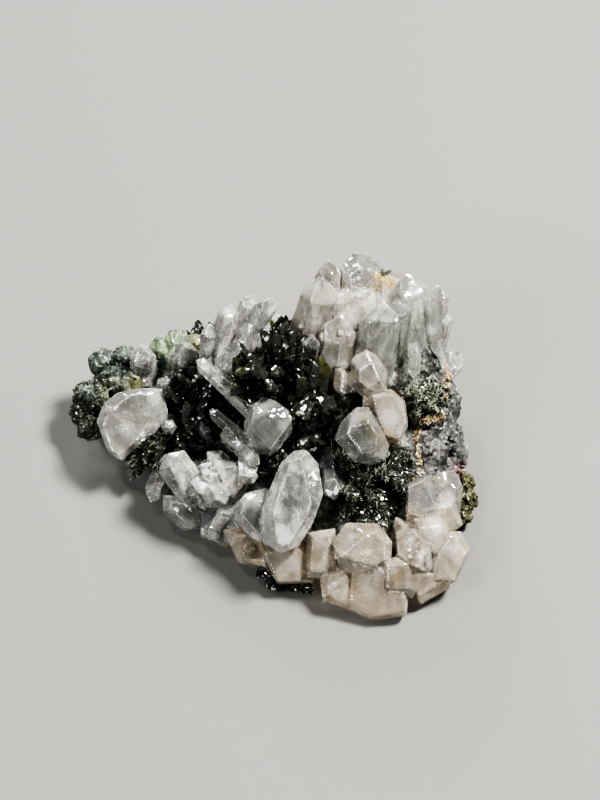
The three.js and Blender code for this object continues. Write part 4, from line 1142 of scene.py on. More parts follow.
veilMaterial, tree, shader = newMaterial("veil_finish")
greyer, whiter = veilLook["colours"]
tone = ramp(tree, noise(tree, objectPlace(tree), 0.8, 2), [(0.35, greyer), (0.65, whiter)])
connect(tree, tone, shader.inputs["Base Color"])
shader.inputs["Roughness"].default_value = veilLook["roughness"]
random = np.random.default_rng(30)
motes = joined(*[
    veilMotes(quartzSurfaces[node], veil, random) for node, sheets in veils.items() for veil in sheets
])
showPiece("quartz_veils", buildMesh("quartz_veils", *motes), veilMaterial)
print("veils drawn")


# Rock: knobbly, dark, and tinted by what has grown in it

rock = {
    "voxel": 0.26,        # mm
    "lump": 0.30,         # mm deep
    "lumpSize": 3.4,      # mm
    "knob": 0.26,         # mm deep
    "knobSize": 1.7,      # mm
    "grain": 0.198,       # mm deep
    "grainSize": 0.62,    # mm
    "out": 0.15,          # mm, how far it stands out as a whole
    "foot": 0.7,          # mm above the cut it rests on, where the relief has its full depth
}


def rockSurface():
    points, triangles = voxelSurface("matrix_rock", rock["voxel"])
    normals = pointNormals(points, triangles)
    knobs, number, tilt = knobNoise(points, rock["knobSize"], 31)
    _, _, smallTilt = knobNoise(points, rock["grainSize"], 57)
    depth = rock["out"] + rock["lump"] * roughNoise(points, rock["lumpSize"], 3, 3)
    depth = depth + rock["knob"] * ((0.5 - knobs) + 1.5 * tilt) + rock["grain"] * smallTilt
    above = np.clip(points[:, 2] / (rock["foot"] * mm), 0, 1)     # the cut it rests on stays flat
    points = points + normals * (depth * above * mm)[:, None]
    points[:, 2] = np.maximum(points[:, 2], 0)
    return (points, triangles), number


rockColours = {
    "plain": ((0.062, 0.068, 0.058), (0.030, 0.036, 0.030)),    # lighter and darker
    "knobs": (1.0, 1.0, 0.94),                                  # of the light that some knobs add
    "green": (0.055, 0.090, 0.058),
    "rust": (0.20, 0.105, 0.040),
    "pale": (0.42, 0.41, 0.38),
    "wall": (0.040, 0.039, 0.040),
    "wallKnobs": (0.09, 0.088, 0.088),
    "wallSpecks": (0.18, 0.176, 0.172),
    "redRust": (0.10, 0.030, 0.026),
    "strip": (0.30, 0.17, 0.08),
    "leftGreen": (0.26, 0.30, 0.17),
    "leftYellow": (0.32, 0.33, 0.13),
    "front": (0.22, 0.17, 0.12),
    # hollow: nearly black, partly the epidote-lined rock and partly painted shade
    "hollow": (0.007, 0.010, 0.007),
}
# where on the crystal face: right, up, radius in mm as seen
rockPlaces = {
    "wall": [(14.0, -3.5, 2.6), (14.2, -6.2, 2.6), (15.0, -0.5, 1.6), (15.2, 2.5, 1.4)],
    "redRust": [(16.0, -7.0, 0.7)],
    "lowStrip": [(11.8 + 0.35 * math.sin(k * 1.3), -1.6 - k * 0.75, 0.16) for k in range(9)],
    "highStrip": [(15.0 - 0.25 * k, 4.0 - k, 0.2) for k in range(5)],
    "left": [(-18.0, 1.5, 2.4), (-19.5, 0.5, 1.5), (-15.5, 2.0, 1.6)],
    "front": [(-5.5, -15.5, 2.0), (-1.0, -15.5, 2.2), (3.0, -17.5, 2.5)],
    # where the rock is darkened in the hollows, partly as painted shade
    "hollow": [
        (-9.0, -1.0, 4.6), (-2.0, 3.0, 5.0), (4.5, -2.5, 3.5), (7.0, -8.5, 4.2), (-3.0, -6.5, 2.5),
    ],
}


def rockTint(points, number):
    place = asSeen(points)
    wide = roughNoise(points, 4.0, 4, 71)[:, None]
    lighter, darker = rockColours["plain"]
    tint = np.where(wide > 0, [lighter], [darker])
    tint = tint + (0.10 * np.clip(wide, 0, 1) + 0.05 * (number[:, None] > 0.7)) * [rockColours["knobs"]]

    def lay(share, colour):
        nonlocal tint
        share = np.clip(share, 0, 1)[:, None]
        tint = tint * (1 - share) + np.array([rockColours[colour]]) * share

    broken = 0.55 + 0.9 * roughNoise(points, 1.0, 3, 83)
    facing = np.clip((place[:, 2] + 6) / 3, 0, 1)
    lay(np.clip(roughNoise(points, 2.6, 3, 91) * 3 - 0.5, 0, 0.8), "green")
    lay(np.clip(roughNoise(points, 3.1, 4, 97) * 5 - 1.7, 0, 0.8) * broken, "rust")
    lay(np.clip(roughNoise(points, 2.2, 4, 103) * 5 - 1.6, 0, 0.9) * broken, "pale")
    wall = near(points, rockPlaces["wall"], 1.0)
    lay(wall * 0.9, "wall")
    lay(wall * (number > 0.7) * 0.8, "wallKnobs")
    lay(wall * np.clip(roughNoise(points, 0.9, 3, 107) * 5 - 1.9, 0, 1), "wallSpecks")
    lay(near(points, rockPlaces["redRust"], 0.8) * broken * 1.1, "redRust")
    strip = near(points, rockPlaces["lowStrip"], 0.4)
    strip = np.maximum(strip, near(points, rockPlaces["highStrip"], 0.4))
    crumbs = np.clip(roughNoise(points, 0.5, 3, 109) * 5 + 0.6, 0, 1)
    lay(strip * crumbs * 1.2, "strip")
    left = near(points, rockPlaces["left"], 1.0)
    lay(left * facing * broken * 1.2, "leftGreen")
    lay(left * facing * (number > 0.75), "leftYellow")
    lay(near(points, rockPlaces["front"], 1.5) * broken, "front")
    # painted shade, with the black of the epidote: the rock facing the eye in the hollows turns nearly black
    lay(near(points, rockPlaces["hollow"], 1.5) * facing, "hollow")
    return np.clip(tint * 0.7, 0, 1)


rockLook = {
    "mottle": (0.35, 5, 0.7),                       # noise of its lighter and darker places
    "mottleStops": (0.30, 0.35, 0.70, 1.5),
    "grainSize": 0.26,                              # mm
    "grainStops": (0.15, 0.5, 0.85, 1.7),
    "patches": (0.25, 4, 0.6),
    "roughness": [(0.38, 0.22), (0.60, 0.75)],      # smooth and rough patches
    "mirror": 0.45,                                 # slope
    "mirrorSize": 0.34,                             # mm
    "relief": (0.22, 5, 0.7),
    "reliefDepth": 0.05,                            # mm
}


def rockFinish():
    material, tree, shader = newMaterial("rock_finish")
    place = objectPlace(tree)
    tint = attribute(tree, "tint", "Color")
    body = mottled(tree, tint, noise(tree, place, *rockLook["mottle"]), rockLook["mottleStops"])
    grain = cellsAt(tree, place, rockLook["grainSize"], "F1", "Color")
    body = mottled(tree, body, grain, rockLook["grainStops"], 0.8)
    connect(tree, body, shader.inputs["Base Color"])
    polished(tree, shader, place, rockLook)
    return material


rockSkin, rockNumber = rockSurface()
mesh = buildMesh("matrix_rock_broken", *rockSkin, tints={"tint": rockTint(rockSkin[0], rockNumber)}, sharp=50)
rockMaterial = rockFinish()
showPiece("matrix_rock_broken", mesh, rockMaterial, ["matrix_rock"])
print("rock broken")


# Quartz rubble and druse on the rock: in the gaps of the crystal face and in patches all round
# The values are those of the small points above, and way is how they lean

rubble = {
    "gaps": {
        "count": 900, "width": (0.45, 1.25), "slender": (1.0, 1.7), "spread": 0.5, "way": (0, 0.4, 0.8),
        "spots": [
            (-9.5, -11.5, 3.2), (-4.5, -15.0, 2.6), (0.5, -16.5, 2.6), (5.0, -18.0, 3.0),
            (10.5, -17.0, 3.4), (13.5, -12.0, 3.0), (12.5, -9.0, 1.8), (-10.4, 3.6, 1.2),
        ],
    },
    "wall": {
        "count": 420, "width": (0.25, 0.75), "slender": (0.9, 1.5), "spread": 0.7, "way": (0.6, 0.2, 0.5),
        "spots": [(14.6, -8.6, 1.6), (15.6, -3.4, 0.8), (14.8, 2.0, 0.9), (13.2, -10.6, 1.4)],
    },
    "druse": {
        "count": 5200, "width": (0.18, 0.55), "slender": (1.0, 1.7), "spread": 0.35, "way": (0, 0.2, -0.6),
    },
}


def inPatches(places, outwards):  # druse keeps to patches of the hidden sides, off the foot
    share = np.clip(roughNoise(places, 3.2, 3, 211) * 6 - 1.3, 0, 1)
    hidden = np.clip(0.4 - outwards @ seenAxes[2] * 1.5, 0, 1)
    return share * hidden * (places[:, 2] > 1.2 * mm)


def rubbleAt(look, random):  # at the spots, on the side that faces the eye
    def wanted(places, outwards):
        return near(places, look["spots"], 1.0) * np.clip(outwards @ seenAxes[2] * 2 + 0.3, 0, 1)

    return pointsOn(rockSkin, look, random, wanted)


random = np.random.default_rng(50)
gapPoints = joined(rubbleAt(rubble["gaps"], random), rubbleAt(rubble["wall"], random))
broken = 0.35 + 0.9 * roughNoise(gapPoints[0], 1.0, 3, 400)
values = {
    "stain": np.clip(0.4 * broken, 0, 0.4),
    "green": greenDust(gapPoints[0], broken),
    "face": faceTones(*gapPoints),
}
mesh = buildMesh("quartz_rubble", *gapPoints, values=values)
showPiece("quartz_rubble", mesh, quartzFinish("rubble_finish", "beige", (0, 0.5, 0.6)))
drusePoints = pointsOn(rockSkin, rubble["druse"], random, inPatches)
broken = 0.25 + 0.9 * roughNoise(drusePoints[0], 1.4, 3, 410)
values = {
    "stain": np.clip(0.5 * broken, 0, 0.6),
    "green": np.clip(roughNoise(drusePoints[0], 2.0, 3, 420), 0, 0.7),
    "face": faceTones(*drusePoints),
}
mesh = buildMesh("quartz_druse", *drusePoints, values=values)
showPiece("quartz_druse", mesh, quartzFinish("druse_finish", "frosty", (0, 0.2, -0.9)))
print("rubble and druse strewn")


# Grains of iron rust along the edge of the wall and in the crown, and a speck of green above them
# on: the surface that carries them; count: how many are tried; size: mm; spots: right, up, radius

grainBeds = {
    "rust_grains": {
        "slot": "host_rock", "on": rockSkin, "count": 260000, "size": (0.07, 0.20),
        "spots": [
            (11.5, -1.4, 0.3), (12.1, -2.0, 0.35), (12.8, -1.9, 0.35), (13.5, -1.8, 0.3), (14.1, -1.5, 0.3),
            (11.5, -2.2, 0.25), (11.7, -3.0, 0.25), (11.6, -3.8, 0.22), (11.8, -4.6, 0.22),
            (11.7, -5.4, 0.2), (11.9, -6.2, 0.2), (12.0, -7.2, 0.25), (12.1, -8.0, 0.2), (14.4, 0.4, 0.3),
            (14.8, 1.4, 0.3), (15.0, 2.4, 0.3), (14.8, 3.4, 0.25), (14.6, 4.2, 0.2),
        ],
        "colours": [
            (0.42, 0.33, 0.13), (0.50, 0.44, 0.26), (0.12, 0.07, 0.03), (0.28, 0.20, 0.09),
            (0.48, 0.45, 0.36),
        ],
    },
    "crown_rust_grains": {
        "slot": "host_rock", "on": quartzSurfaces["quartz_crown"], "count": 130000, "size": (0.05, 0.13),
        "spots": [
            (7.6, 12.3, 0.12), (8.0, 12.0, 0.15), (8.4, 11.8, 0.2), (8.8, 11.6, 0.2), (9.2, 11.4, 0.1),
            (8.6, 12.3, 0.12),
        ],
        "colours": [
            (0.50, 0.37, 0.09), (0.42, 0.31, 0.08), (0.54, 0.46, 0.20), (0.16, 0.12, 0.04),
            (0.30, 0.24, 0.07),
        ],
    },
    "crown_green_speck": {
        "slot": "chlorite", "on": quartzSurfaces["quartz_crown"], "count": 260000, "size": (0.10, 0.22),
        "spots": [(8.5, 12.7, 0.3)],
        "colours": [(0.008, 0.012, 0.007), (0.020, 0.026, 0.016), (0.050, 0.056, 0.036)],
    },
}


def grainFinish():
    material, tree, shader = newMaterial("grain_finish")
    tint = attribute(tree, "tint", "Color")
    body = mottled(tree, tint, noise(tree, objectPlace(tree), 0.2, 3), (0.3, 0.6, 0.7, 1.4))
    connect(tree, body, shader.inputs["Base Color"])
    shader.inputs["Roughness"].default_value = 0.45
    return material


def grainsOn(look, random):
    # Grains lie on the side that faces the eye, thick at the spots and thinning out round them
    def wanted(places, outwards):
        return near(places, look["spots"], 0.45) * np.clip(outwards @ seenAxes[2] * 3 - 0.5, 0, 1)

    places, outwards = strewn(look["on"], look["count"], random, wanted)
    sizes = np.stack([between(random, look["size"], len(places)) for side in range(3)], axis=1)
    turns = framesAlong(random.normal(0, 1, places.shape), places[:, 0])
    grains = repeated(grainShape, places + outwards * (0.04 * mm), turns, sizes)
    tints = np.array(look["colours"])[random.integers(0, len(look["colours"]), len(places))]
    return grains, np.repeat(tints, len(grainShape[0]), axis=0)


random = np.random.default_rng(60)
grainMaterial = grainFinish()
for name, look in grainBeds.items():
    grains, tints = grainsOn(look, random)
    mesh = buildMesh(name, *grains, tints={"tint": tints}, sharp=30)
    showPiece(name, mesh, grainMaterial)
print("grains strewn")


# Chlorite: granular lumps, bluish green to pale green
# dark, light: its colours; grain, lump: depth in mm of the small and large relief
# flakes: how many lie on it, and white: the share of them that is nearly white

chloriteLumps = {
    "chlorite_left_edge": {
        "dark": (0.006, 0.010, 0.006), "light": (0.046, 0.056, 0.038), "finish": "dull",
        "grain": 0.16, "lump": 0.20, "flakes": 1500, "white": 0.09,
    },
    "chlorite_upper_left": {
        "dark": (0.008, 0.018, 0.013), "light": (0.095, 0.122, 0.094), "finish": "clear",
        "grain": 0.03, "lump": 0.20, "flakes": 220, "white": 0.03,
    },
    "chlorite_pale_lumps": {
        "dark": (0.065, 0.098, 0.062), "light": (0.21, 0.26, 0.165), "finish": "clear",
        "grain": 0.03, "lump": 0.14, "flakes": 120, "white": 0.03,
    },
    "chlorite_right_edge": {
        "dark": (0.012, 0.015, 0.006), "light": (0.10, 0.10, 0.045), "finish": "dull",
        "grain": 0.15, "lump": 0.20, "flakes": 800, "white": 0.06,
    },
    "chlorite_back_lumps": {
        "dark": (0.014, 0.022, 0.015), "light": (0.09, 0.115, 0.08), "finish": "dull",
        "grain": 0.12, "lump": 0.26, "flakes": 900, "white": 0.03,
    },
}
# how much light a finish lets through, and the slope and size of its small flat pieces
chloriteKinds = {
    "dull": {"transmission": 0.0, "mirror": 0.40, "mirrorSize": 0.26},
    "clear": {"transmission": 0.30, "mirror": 0.18, "mirrorSize": 0.70},
}


# what every lump of chlorite shares
chloriteLook = {
    "voxel": 0.16,                                  # mm
    "out": 0.03,                                    # mm, how far it stands out as a whole
    "lumpSize": 1.25,                               # mm
    "grainSize": 0.42,                              # mm
    "flakeThick": (0.06, 0.12),                     # mm
    "flakeWide": (0.10, 0.30),                      # mm
    "strength": 0.7,                                # of all its colours
    "mottle": (0.30, 5, 0.65),                      # noise of its lighter and darker places
    "mottleStops": (0.30, 0.5, 0.70, 1.5),
    "patches": (0.2, 3),
    "roughness": [(0.40, 0.22), (0.60, 0.65)],      # smooth and rough patches
    "relief": (0.14, 4, 0.6),
    "reliefDepth": 0.012,                           # mm
}


def chloriteFinish(name, kind):
    look = {**chloriteLook, **chloriteKinds[kind]}
    material, tree, shader = newMaterial(name)
    shader.inputs["Transmission Weight"].default_value = look["transmission"]
    place = objectPlace(tree)
    tint = attribute(tree, "tint", "Color")
    body = mottled(tree, tint, noise(tree, place, *look["mottle"]), look["mottleStops"])
    connect(tree, body, shader.inputs["Base Color"])
    polished(tree, shader, place, look)
    return material


# darker and yellower places on the lumps: right, up, radius, colour
chloriteSpots = [
    (-18.4, 3.4, 1.1, (0.005, 0.012, 0.009)), (-14.2, 5.8, 0.4, (0.012, 0.028, 0.020)),
    (-10.3, 6.0, 0.7, (0.20, 0.20, 0.05)), (-9.8, 6.4, 0.3, (0.020, 0.030, 0.006)),
    (-21.6, 0.8, 0.7, (0.18, 0.22, 0.19)), (-16.6, 4.7, 0.7, (0.26, 0.30, 0.27)),
    (-18.8, 1.0, 1.3, (0.15, 0.165, 0.10)), (-16.6, 1.6, 1.0, (0.14, 0.145, 0.07)),
    (-19.6, 2.6, 0.5, (0.02, 0.03, 0.015)), (-17.8, 0.6, 0.5, (0.015, 0.02, 0.01)),
    (-17.6, 1.8, 0.3, (0.40, 0.41, 0.36)), (-18.9, 1.8, 0.25, (0.40, 0.41, 0.36)),
]


def chloriteSkin(node, look, number):  # the knobbly skin, and how light each point of it is, from 0 to 1
    points, triangles = voxelSurface(node, chloriteLook["voxel"])
    normals = pointNormals(points, triangles)
    _, owner, tilt = knobNoise(points, chloriteLook["lumpSize"], 130 + number)
    _, _, smallTilt = knobNoise(points, chloriteLook["grainSize"], 160 + number)
    depth = chloriteLook["out"] + look["lump"] * 1.5 * tilt + look["grain"] * 2 * smallTilt
    depth = depth + 0.14 * roughNoise(points, 1.3, 3, 140 + number)
    points = points + normals * (depth * mm)[:, None]
    share = np.clip(0.45 + 1.0 * roughNoise(points, 1.5, 4, 150 + number) + 0.5 * (owner - 0.5), 0, 1)
    return (points, triangles), share


def chloriteFlakes(skin, look, random):  # thin flakes on the skin, some of them nearly white
    places, outwards = strewn(skin, look["flakes"], random)
    count = len(places)
    thick = between(random, chloriteLook["flakeThick"], count)
    wide = between(random, chloriteLook["flakeWide"], (2, count))
    tilted = outwards + random.normal(0, 0.6, outwards.shape)
    axes = framesAlong(tilted, random.random(count) * 6)
    flakes = repeated(flakeShape, places, axes, np.stack([thick, *wide], axis=1))
    share = np.clip(random.normal(0.4, 0.3, count), 0, 1)
    share[random.random(count) < look["white"]] = 3.2
    return flakes, np.repeat(share, len(flakeShape[0]))


def chloriteTint(points, look, share):
    share, strength = share[:, None], chloriteLook["strength"]
    tint = np.clip(np.array([look["dark"]]) * (1 - share) + np.array([look["light"]]) * share, 0, 0.8)
    tint = tint * strength
    broken = 0.6 + 0.9 * roughNoise(points, 0.9, 3, 170)
    for right, up, radius, colour in chloriteSpots:
        spot = np.clip(near(points, [(right, up, radius)], 0.6) * broken * 1.3, 0, 1)[:, None]
        tint = tint * (1 - spot) + np.array([colour]) * strength * spot
    return tint


chloriteFinishes = {kind: chloriteFinish("chlorite_" + kind, kind) for kind in chloriteKinds}
random = np.random.default_rng(20)
for number, (node, look) in enumerate(chloriteLumps.items()):
    skin, share = chloriteSkin(node, look, number)
    flakes, flakeShare = chloriteFlakes(skin, look, random)
    surface = joined(skin, flakes)
    tint = chloriteTint(surface[0], look, np.concatenate([share, flakeShare]))
    mesh = buildMesh(node + "_granular", *surface, tints={"tint": tint}, sharp=40)
    showPiece(node + "_granular", mesh, chloriteFinishes[look["finish"]], [node])
print("chlorite laid")


# Epidote: stepped sprays of flat blades with slanted ends, and mats of needles
# root: where its blades come from, as seen; bunches, blades: how many bunches, and blades in each
# spread: how unevenly they stand; length, width, thick: of the blades, in mm
# shrink: mm, how much smaller the heart is made
# needles: how many needles it has; needleLength: mm; pale: how pale they are, from 0 to 1

epidoteSprays = {
    "epidote_centre_spray": {
        "root": (-1.5, 1.0, -3.5), "bunches": 56, "blades": 5, "spread": 0.5,
        "length": (1.3, 2.5), "width": (0.50, 1.05), "thick": (0.14, 0.34),
        "needles": 0,
    },
    "epidote_hollow_spray": {
        "root": (-9.4, -1.5, -8.0), "bunches": 64, "blades": 3, "spread": 0.6,
        "length": (1.1, 2.2), "width": (0.50, 1.05), "thick": (0.20, 0.42),
        "needles": 80,
    },
    "epidote_middle_spray": {
        "root": (2.4, -2.4, -3.0), "bunches": 26, "blades": 4, "spread": 0.55,
        "length": (1.2, 2.2), "width": (0.60, 1.20), "thick": (0.24, 0.45),
        "needles": 60,
    },
    "epidote_right_mat": {
        "root": (7.4, -8.6, -4.0), "bunches": 50, "blades": 3, "spread": 0.8,
        "length": (0.5, 1.2), "width": (0.16, 0.34), "thick": (0.08, 0.16),
        "needles": 5000, "needleLength": (0.25, 0.75), "pale": 0.44,
    },
    "epidote_lower_tuft": {
        "root": (-15.4, -5.2, -8.5), "bunches": 40, "blades": 3, "spread": 0.7,
        "length": (0.5, 1.2), "width": (0.18, 0.40), "thick": (0.08, 0.18),
        "needles": 700,
    },
    "epidote_small_spray": {
        "root": (-2.6, -6.4, -3.0), "bunches": 26, "blades": 3, "spread": 0.6,
        "length": (0.5, 1.1), "width": (0.20, 0.40), "thick": (0.10, 0.20),
        "needles": 150,
    },
    "epidote_right_patch": {
        "root": (12.2, 0.2, -3.0), "bunches": 20, "blades": 2, "spread": 0.9,
        "length": (0.4, 0.9), "width": (0.12, 0.26), "thick": (0.06, 0.12),
        "needles": 3800, "needleLength": (0.2, 0.6), "pale": 0.8,
    },
    "epidote_back_high": {
        "root": (3.2, 9.0, 0.0), "bunches": 40, "blades": 3, "spread": 0.6,
        "length": (0.6, 1.4), "width": (0.25, 0.5), "thick": (0.12, 0.22),
        "needles": 300,
    },
    "epidote_back_wing": {
        "root": (-9.5, 4.5, -5.0), "bunches": 40, "blades": 3, "spread": 0.6,
        "length": (0.4, 0.9), "width": (0.2, 0.4), "thick": (0.1, 0.2),
        "needles": 60,
    },
    "epidote_bottom_leaf": {
        "root": (-1.6, -14.0, -1.0), "bunches": 40, "blades": 3, "spread": 0.6, "shrink": 0.35,
        "length": (0.6, 1.3), "width": (0.26, 0.50), "thick": (0.08, 0.16),
        "needles": 60,
    },
}

epidoteLook = {
    "ior": 1.55,
    "black": ((0.006, 0.007, 0.006), (0.021, 0.024, 0.018)),
    "blackSize": 0.8,                               # mm
    "olive": ((0.018, 0.024, 0.006), (0.070, 0.076, 0.022)),
    "oliveSize": 0.6,                               # mm
    "needle": (0.30, 0.33, 0.26),
    "patches": (0.7, 2),
    "roughness": [(0.38, 0.05), (0.66, 0.24)],      # smooth and rough patches
    "mirror": 0.36,                                 # slope of the small flat pieces
    "mirrorSize": 0.42,                             # mm
    "relief": (0.30, 2, 0.5),
    "reliefDepth": 0.006,                           # mm
    "knob": 0.35,                                   # mm, how knobbly the hearts of the sprays are
    "knobSize": 0.8,                                # mm
    "heartEdge": 0.3,                               # mm, the longest edge of a heart
}


def epidoteFinish(name):
    material, tree, shader = newMaterial(name)
    place = objectPlace(tree)
    black = blend(tree, noise(tree, place, epidoteLook["blackSize"], 3), *epidoteLook["black"])
    olive = blend(tree, noise(tree, place, epidoteLook["oliveSize"], 3), *epidoteLook["olive"])
    tip = ramp(tree, attribute(tree, "tip"), [(0.45, 0.0), (1.0, 1.0)])
    tone = ramp(tree, attribute(tree, "tone"), [(0.40, 0.0), (1.0, 1.0)])
    body = blend(tree, tip, black, olive)
    body = blend(tree, tone, body, epidoteLook["needle"])
    connect(tree, body, shader.inputs["Base Color"])
    shader.inputs["IOR"].default_value = epidoteLook["ior"]
    polished(tree, shader, place, epidoteLook)
    return material


# how the blades of a bunch stand
bladeHabit = {
    "away": 0.75,           # how much a bunch leans away from the root
    "outwards": 0.55,       # and off the skin
    "apart": 0.62,          # the step from blade to blade, for a width of 1
    "stagger": 0.9,         # how unevenly they are stacked, for a thickness of 1
    "sunk": 0.55,           # share of a blade's length that is under the skin
}


def sprayBlades(heart, look, random, wanted=None):
    # Bunches of parallel blades: each bunch stands on the heart, away from the spray's root
    places, outwards = strewn(heart, look["bunches"], random, wanted)
    along = bladeHabit["away"] * unit(places - seen(*look["root"])) + bladeHabit["outwards"] * outwards
    along = unit(along + random.normal(0, look["spread"] * 0.5, places.shape))
    axes = framesAlong(along, random.random(len(places)) * np.pi)
    each = look["blades"]
    count = len(places) * each
    axes = np.repeat(axes, each, axis=0)
    sizes = np.stack([between(random, look[size], count) for size in ("length", "width", "thick")], axis=1)
    aside = np.tile(np.arange(each), len(places)) - (each - 1) / 2
    aside = aside * np.mean(look["width"]) * bladeHabit["apart"]
    deeper = random.normal(0, np.mean(look["thick"]) * bladeHabit["stagger"], count)
    shift = axes[:, :, 1] * aside[:, None] + axes[:, :, 2] * deeper[:, None]
    shift = shift - axes[:, :, 0] * (sizes[:, :1] * bladeHabit["sunk"])
    surface = repeated(bladeShape, np.repeat(places, each, axis=0) + shift * mm, axes, sizes)
    tips = np.tile(bladeShape[0][:, 0], count) * np.repeat(random.random(count) ** 3, len(bladeShape[0]))
    return surface, tips


# how the needles stand
needleHabit = {
    "away": 0.35,
    "outwards": 0.5,
    "spread": 0.55,
    "thick": (0.03, 0.07),      # mm
    "length": (0.35, 1.1),      # mm, where a spray has no needleLength of its own
    "pale": 0.45,               # the same for its pale
    "sunk": 0.1,                # mm under the skin
}


def sprayNeedles(heart, look, random, wanted=None):
    places, outwards = strewn(heart, look["needles"], random, wanted)
    along = needleHabit["away"] * unit(places - seen(*look["root"])) + needleHabit["outwards"] * outwards
    along = unit(along + random.normal(0, needleHabit["spread"], places.shape))
    count = len(places)
    thick = between(random, needleHabit["thick"], count)
    length = between(random, look.get("needleLength", needleHabit["length"]), count)
    axes = framesAlong(along, random.random(count) * 3)
    foot = places - along * (needleHabit["sunk"] * mm)
    surface = repeated(needleShape, foot, axes, np.stack([length, thick, thick], axis=1))
    pale = np.clip(random.normal(look.get("pale", needleHabit["pale"]), 0.34, count), 0, 1)
    return surface, np.repeat(pale, len(needleShape[0]))


# blades that stand out: bars as in the left fan, and then a share of olive at the tip
standingBlades = {
    "epidote_centre_spray": [
        (-3.0, 4.2, -3.5, 6.9, 0.5, 1.1, 0.4, 0.15), (-2.2, 4.4, -2.3, 6.5, 1.0, 1.0, 0.4, 0.1),
        (-1.4, 4.4, -1.5, 7.4, 0.6, 1.0, 0.4, 0.2), (-0.7, 4.2, -0.8, 7.1, 1.0, 0.9, 0.4, 0.1),
        (0.0, 4.0, 0.7, 6.4, 0.8, 1.0, 0.4, 0.25), (-3.4, 3.4, -5.3, 4.4, 1.0, 0.9, 0.4, 0.5),
        (-3.8, 2.6, -6.4, 2.9, 0.9, 0.9, 0.4, 0.7), (-4.2, 2.0, -6.8, 1.6, 0.9, 0.9, 0.35, 0.7),
        (-4.6, 1.4, -7.0, 0.7, 0.8, 0.8, 0.35, 0.5), (-3.0, 2.2, -4.9, 3.3, 1.3, 1.0, 0.4, 0.3),
        (-0.8, 2.6, -2.9, 2.9, 1.4, 1.1, 0.4, 0.0), (-0.4, 3.2, 0.9, 5.3, 1.2, 0.9, 0.4, 0.2),
        (2.0, 0.8, 2.1, 4.3, 1.2, 0.8, 0.3, 0.9), (2.4, 0.9, 2.8, 4.5, 0.8, 0.8, 0.3, 1.0),
        (2.8, 1.1, 3.5, 3.9, 0.6, 0.8, 0.3, 1.0), (1.2, 1.0, 1.5, 3.8, 1.3, 1.0, 0.35, 0.3),
        (0.2, 0.4, 0.2, 2.3, 1.4, 1.2, 0.4, 0.6), (-1.0, 0.9, -2.8, 1.2, 1.4, 1.2, 0.45, 0.1),
        (-2.4, 3.4, -1.3, 5.5, 1.3, 1.0, 0.4, 0.1),
    ],
    "epidote_middle_spray": [
        (3.6, -0.4, 0.1, -1.0, 0.5, 2.0, 0.55, 0.85), (3.2, -1.6, 0.6, -2.4, 0.8, 1.2, 0.4, 0.2),
        (4.6, -2.6, 2.6, -3.4, 0.8, 1.1, 0.4, 0.1), (1.2, -3.2, -0.2, -4.6, 0.8, 0.9, 0.35, 0.1),
    ],
    "epidote_hollow_spray": [
        (-11.0, 0.8, -10.2, 3.2, 0.8, 0.7, 0.3, 0.2), (-9.6, 0.4, -8.6, 2.4, 0.8, 0.7, 0.3, 0.1),
        (-12.0, -0.2, -12.8, 1.9, 0.8, 0.8, 0.3, 0.5), (-7.4, -0.8, -9.0, 0.8, 1.0, 0.7, 0.3, 0.1),
        (-11.6, -2.4, -11.2, -0.2, 1.0, 0.8, 0.3, 0.0), (-7.8, -3.2, -9.6, -2.0, 1.0, 0.8, 0.3, 0.0),
        (-10.4, -1.0, -9.2, -0.2, 1.0, 0.9, 0.3, 0.1), (-12.6, -3.0, -13.0, -1.4, 0.8, 0.7, 0.3, 0.2),
    ],
    "epidote_lower_tuft": [
        (-15.4, -6.4, -15.2, -4.4, 0.8, 0.7, 0.3, 1.0), (-14.6, -6.2, -13.8, -4.6, 0.8, 0.6, 0.25, 0.6),
        (-16.0, -5.6, -17.0, -4.6, 0.7, 0.6, 0.25, 0.5), (-14.2, -7.2, -13.0, -7.4, 0.8, 0.6, 0.25, 0.3),
    ],
}


def sprayHeart(node, look, number):  # the stepped solid, roughened, that carries the blades
    points, triangles = cadSurface(node)
    points = swollen(points, triangles, -look.get("shrink", 0.0))
    points, triangles = refined(points, triangles, epidoteLook["heartEdge"])
    _, _, tilt = knobNoise(points, epidoteLook["knobSize"], 500 + number)
    points = points + pointNormals(points, triangles) * (epidoteLook["knob"] * tilt * mm)[:, None]
    points[:, 2] = np.maximum(points[:, 2], 0)
    return points, triangles


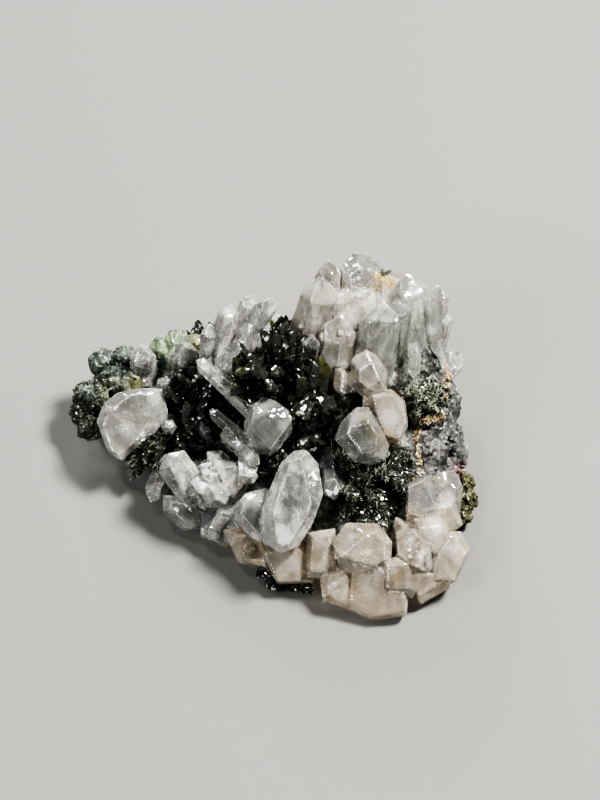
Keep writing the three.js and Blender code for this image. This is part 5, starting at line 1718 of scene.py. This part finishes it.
epidoteMaterial = epidoteFinish("epidote_finish")
random = np.random.default_rng(40)
for number, (node, look) in enumerate(epidoteSprays.items()):
    heart = sprayHeart(node, look, number)
    surface, tips = sprayBlades(heart, look, random)
    parts = [heart, surface]
    tip = [np.zeros(len(heart[0])), tips]           # how olive
    tone = [np.zeros(len(heart[0]) + len(tips))]    # how pale
    if node in standingBlades:
        parts.append(standing(heart, standingBlades[node], bladeShape))
        olive = np.array(standingBlades[node])[:, 7]
        tip.append(np.outer(olive, 0.3 + 0.7 * bladeShape[0][:, 0]).ravel())
        tone.append(np.zeros(len(parts[-1][0])))
    if look["needles"]:
        surface, pale = sprayNeedles(heart, look, random)
        parts.append(surface)
        tip.append(np.full(len(pale), 0.5))
        tone.append(pale)
    values = {"tip": np.concatenate(tip), "tone": np.concatenate(tone)}
    mesh = buildMesh(node + "_blades", *joined(*parts), values=values, sharp=20)
    showPiece(node + "_blades", mesh, epidoteMaterial, [node])


# loose blades and needles on the rock: thick in the hollows, thin on the hidden sides
strewnEpidote = {
    "root": (0, 0, -14), "bunches": 3400, "blades": 1, "spread": 1.0,
    "length": (0.8, 1.9), "width": (0.40, 0.95), "thick": (0.16, 0.36),
    "needles": 5600,
    "hollows": [
        (-9.4, -1.2, 4.4), (-2.0, 2.0, 4.6), (3.4, -3.4, 3.2), (7.0, -8.4, 4.0), (-3.0, -6.6, 2.4),
        (-14.0, -5.0, 2.4), (-12.6, 1.6, 1.6), (12.4, 0.2, 2.0),
    ],
}


def epidoteHere(places, outwards):
    facing = outwards @ seenAxes[2]
    front = near(places, strewnEpidote["hollows"], 1.0) * np.clip(facing * 2 + 0.4, 0, 1)
    hidden = np.clip(roughNoise(places, 3.0, 3, 231) * 6 - 1.8, 0, 1) * np.clip(0.4 - facing, 0, 0.3)
    return np.maximum(front, hidden) * (places[:, 2] > 1.0 * mm)


surface, tips = sprayBlades(rockSkin, strewnEpidote, random, epidoteHere)
needles, pale = sprayNeedles(rockSkin, strewnEpidote, random, epidoteHere)
values = {
    "tip": np.concatenate([tips, np.full(len(pale), 0.4)]),
    "tone": np.concatenate([np.zeros(len(tips)), pale * 0.8]),
}
mesh = buildMesh("epidote_strewn", *joined(surface, needles), values=values, sharp=20)
showPiece("epidote_strewn", mesh, epidoteMaterial)
print("epidote set")
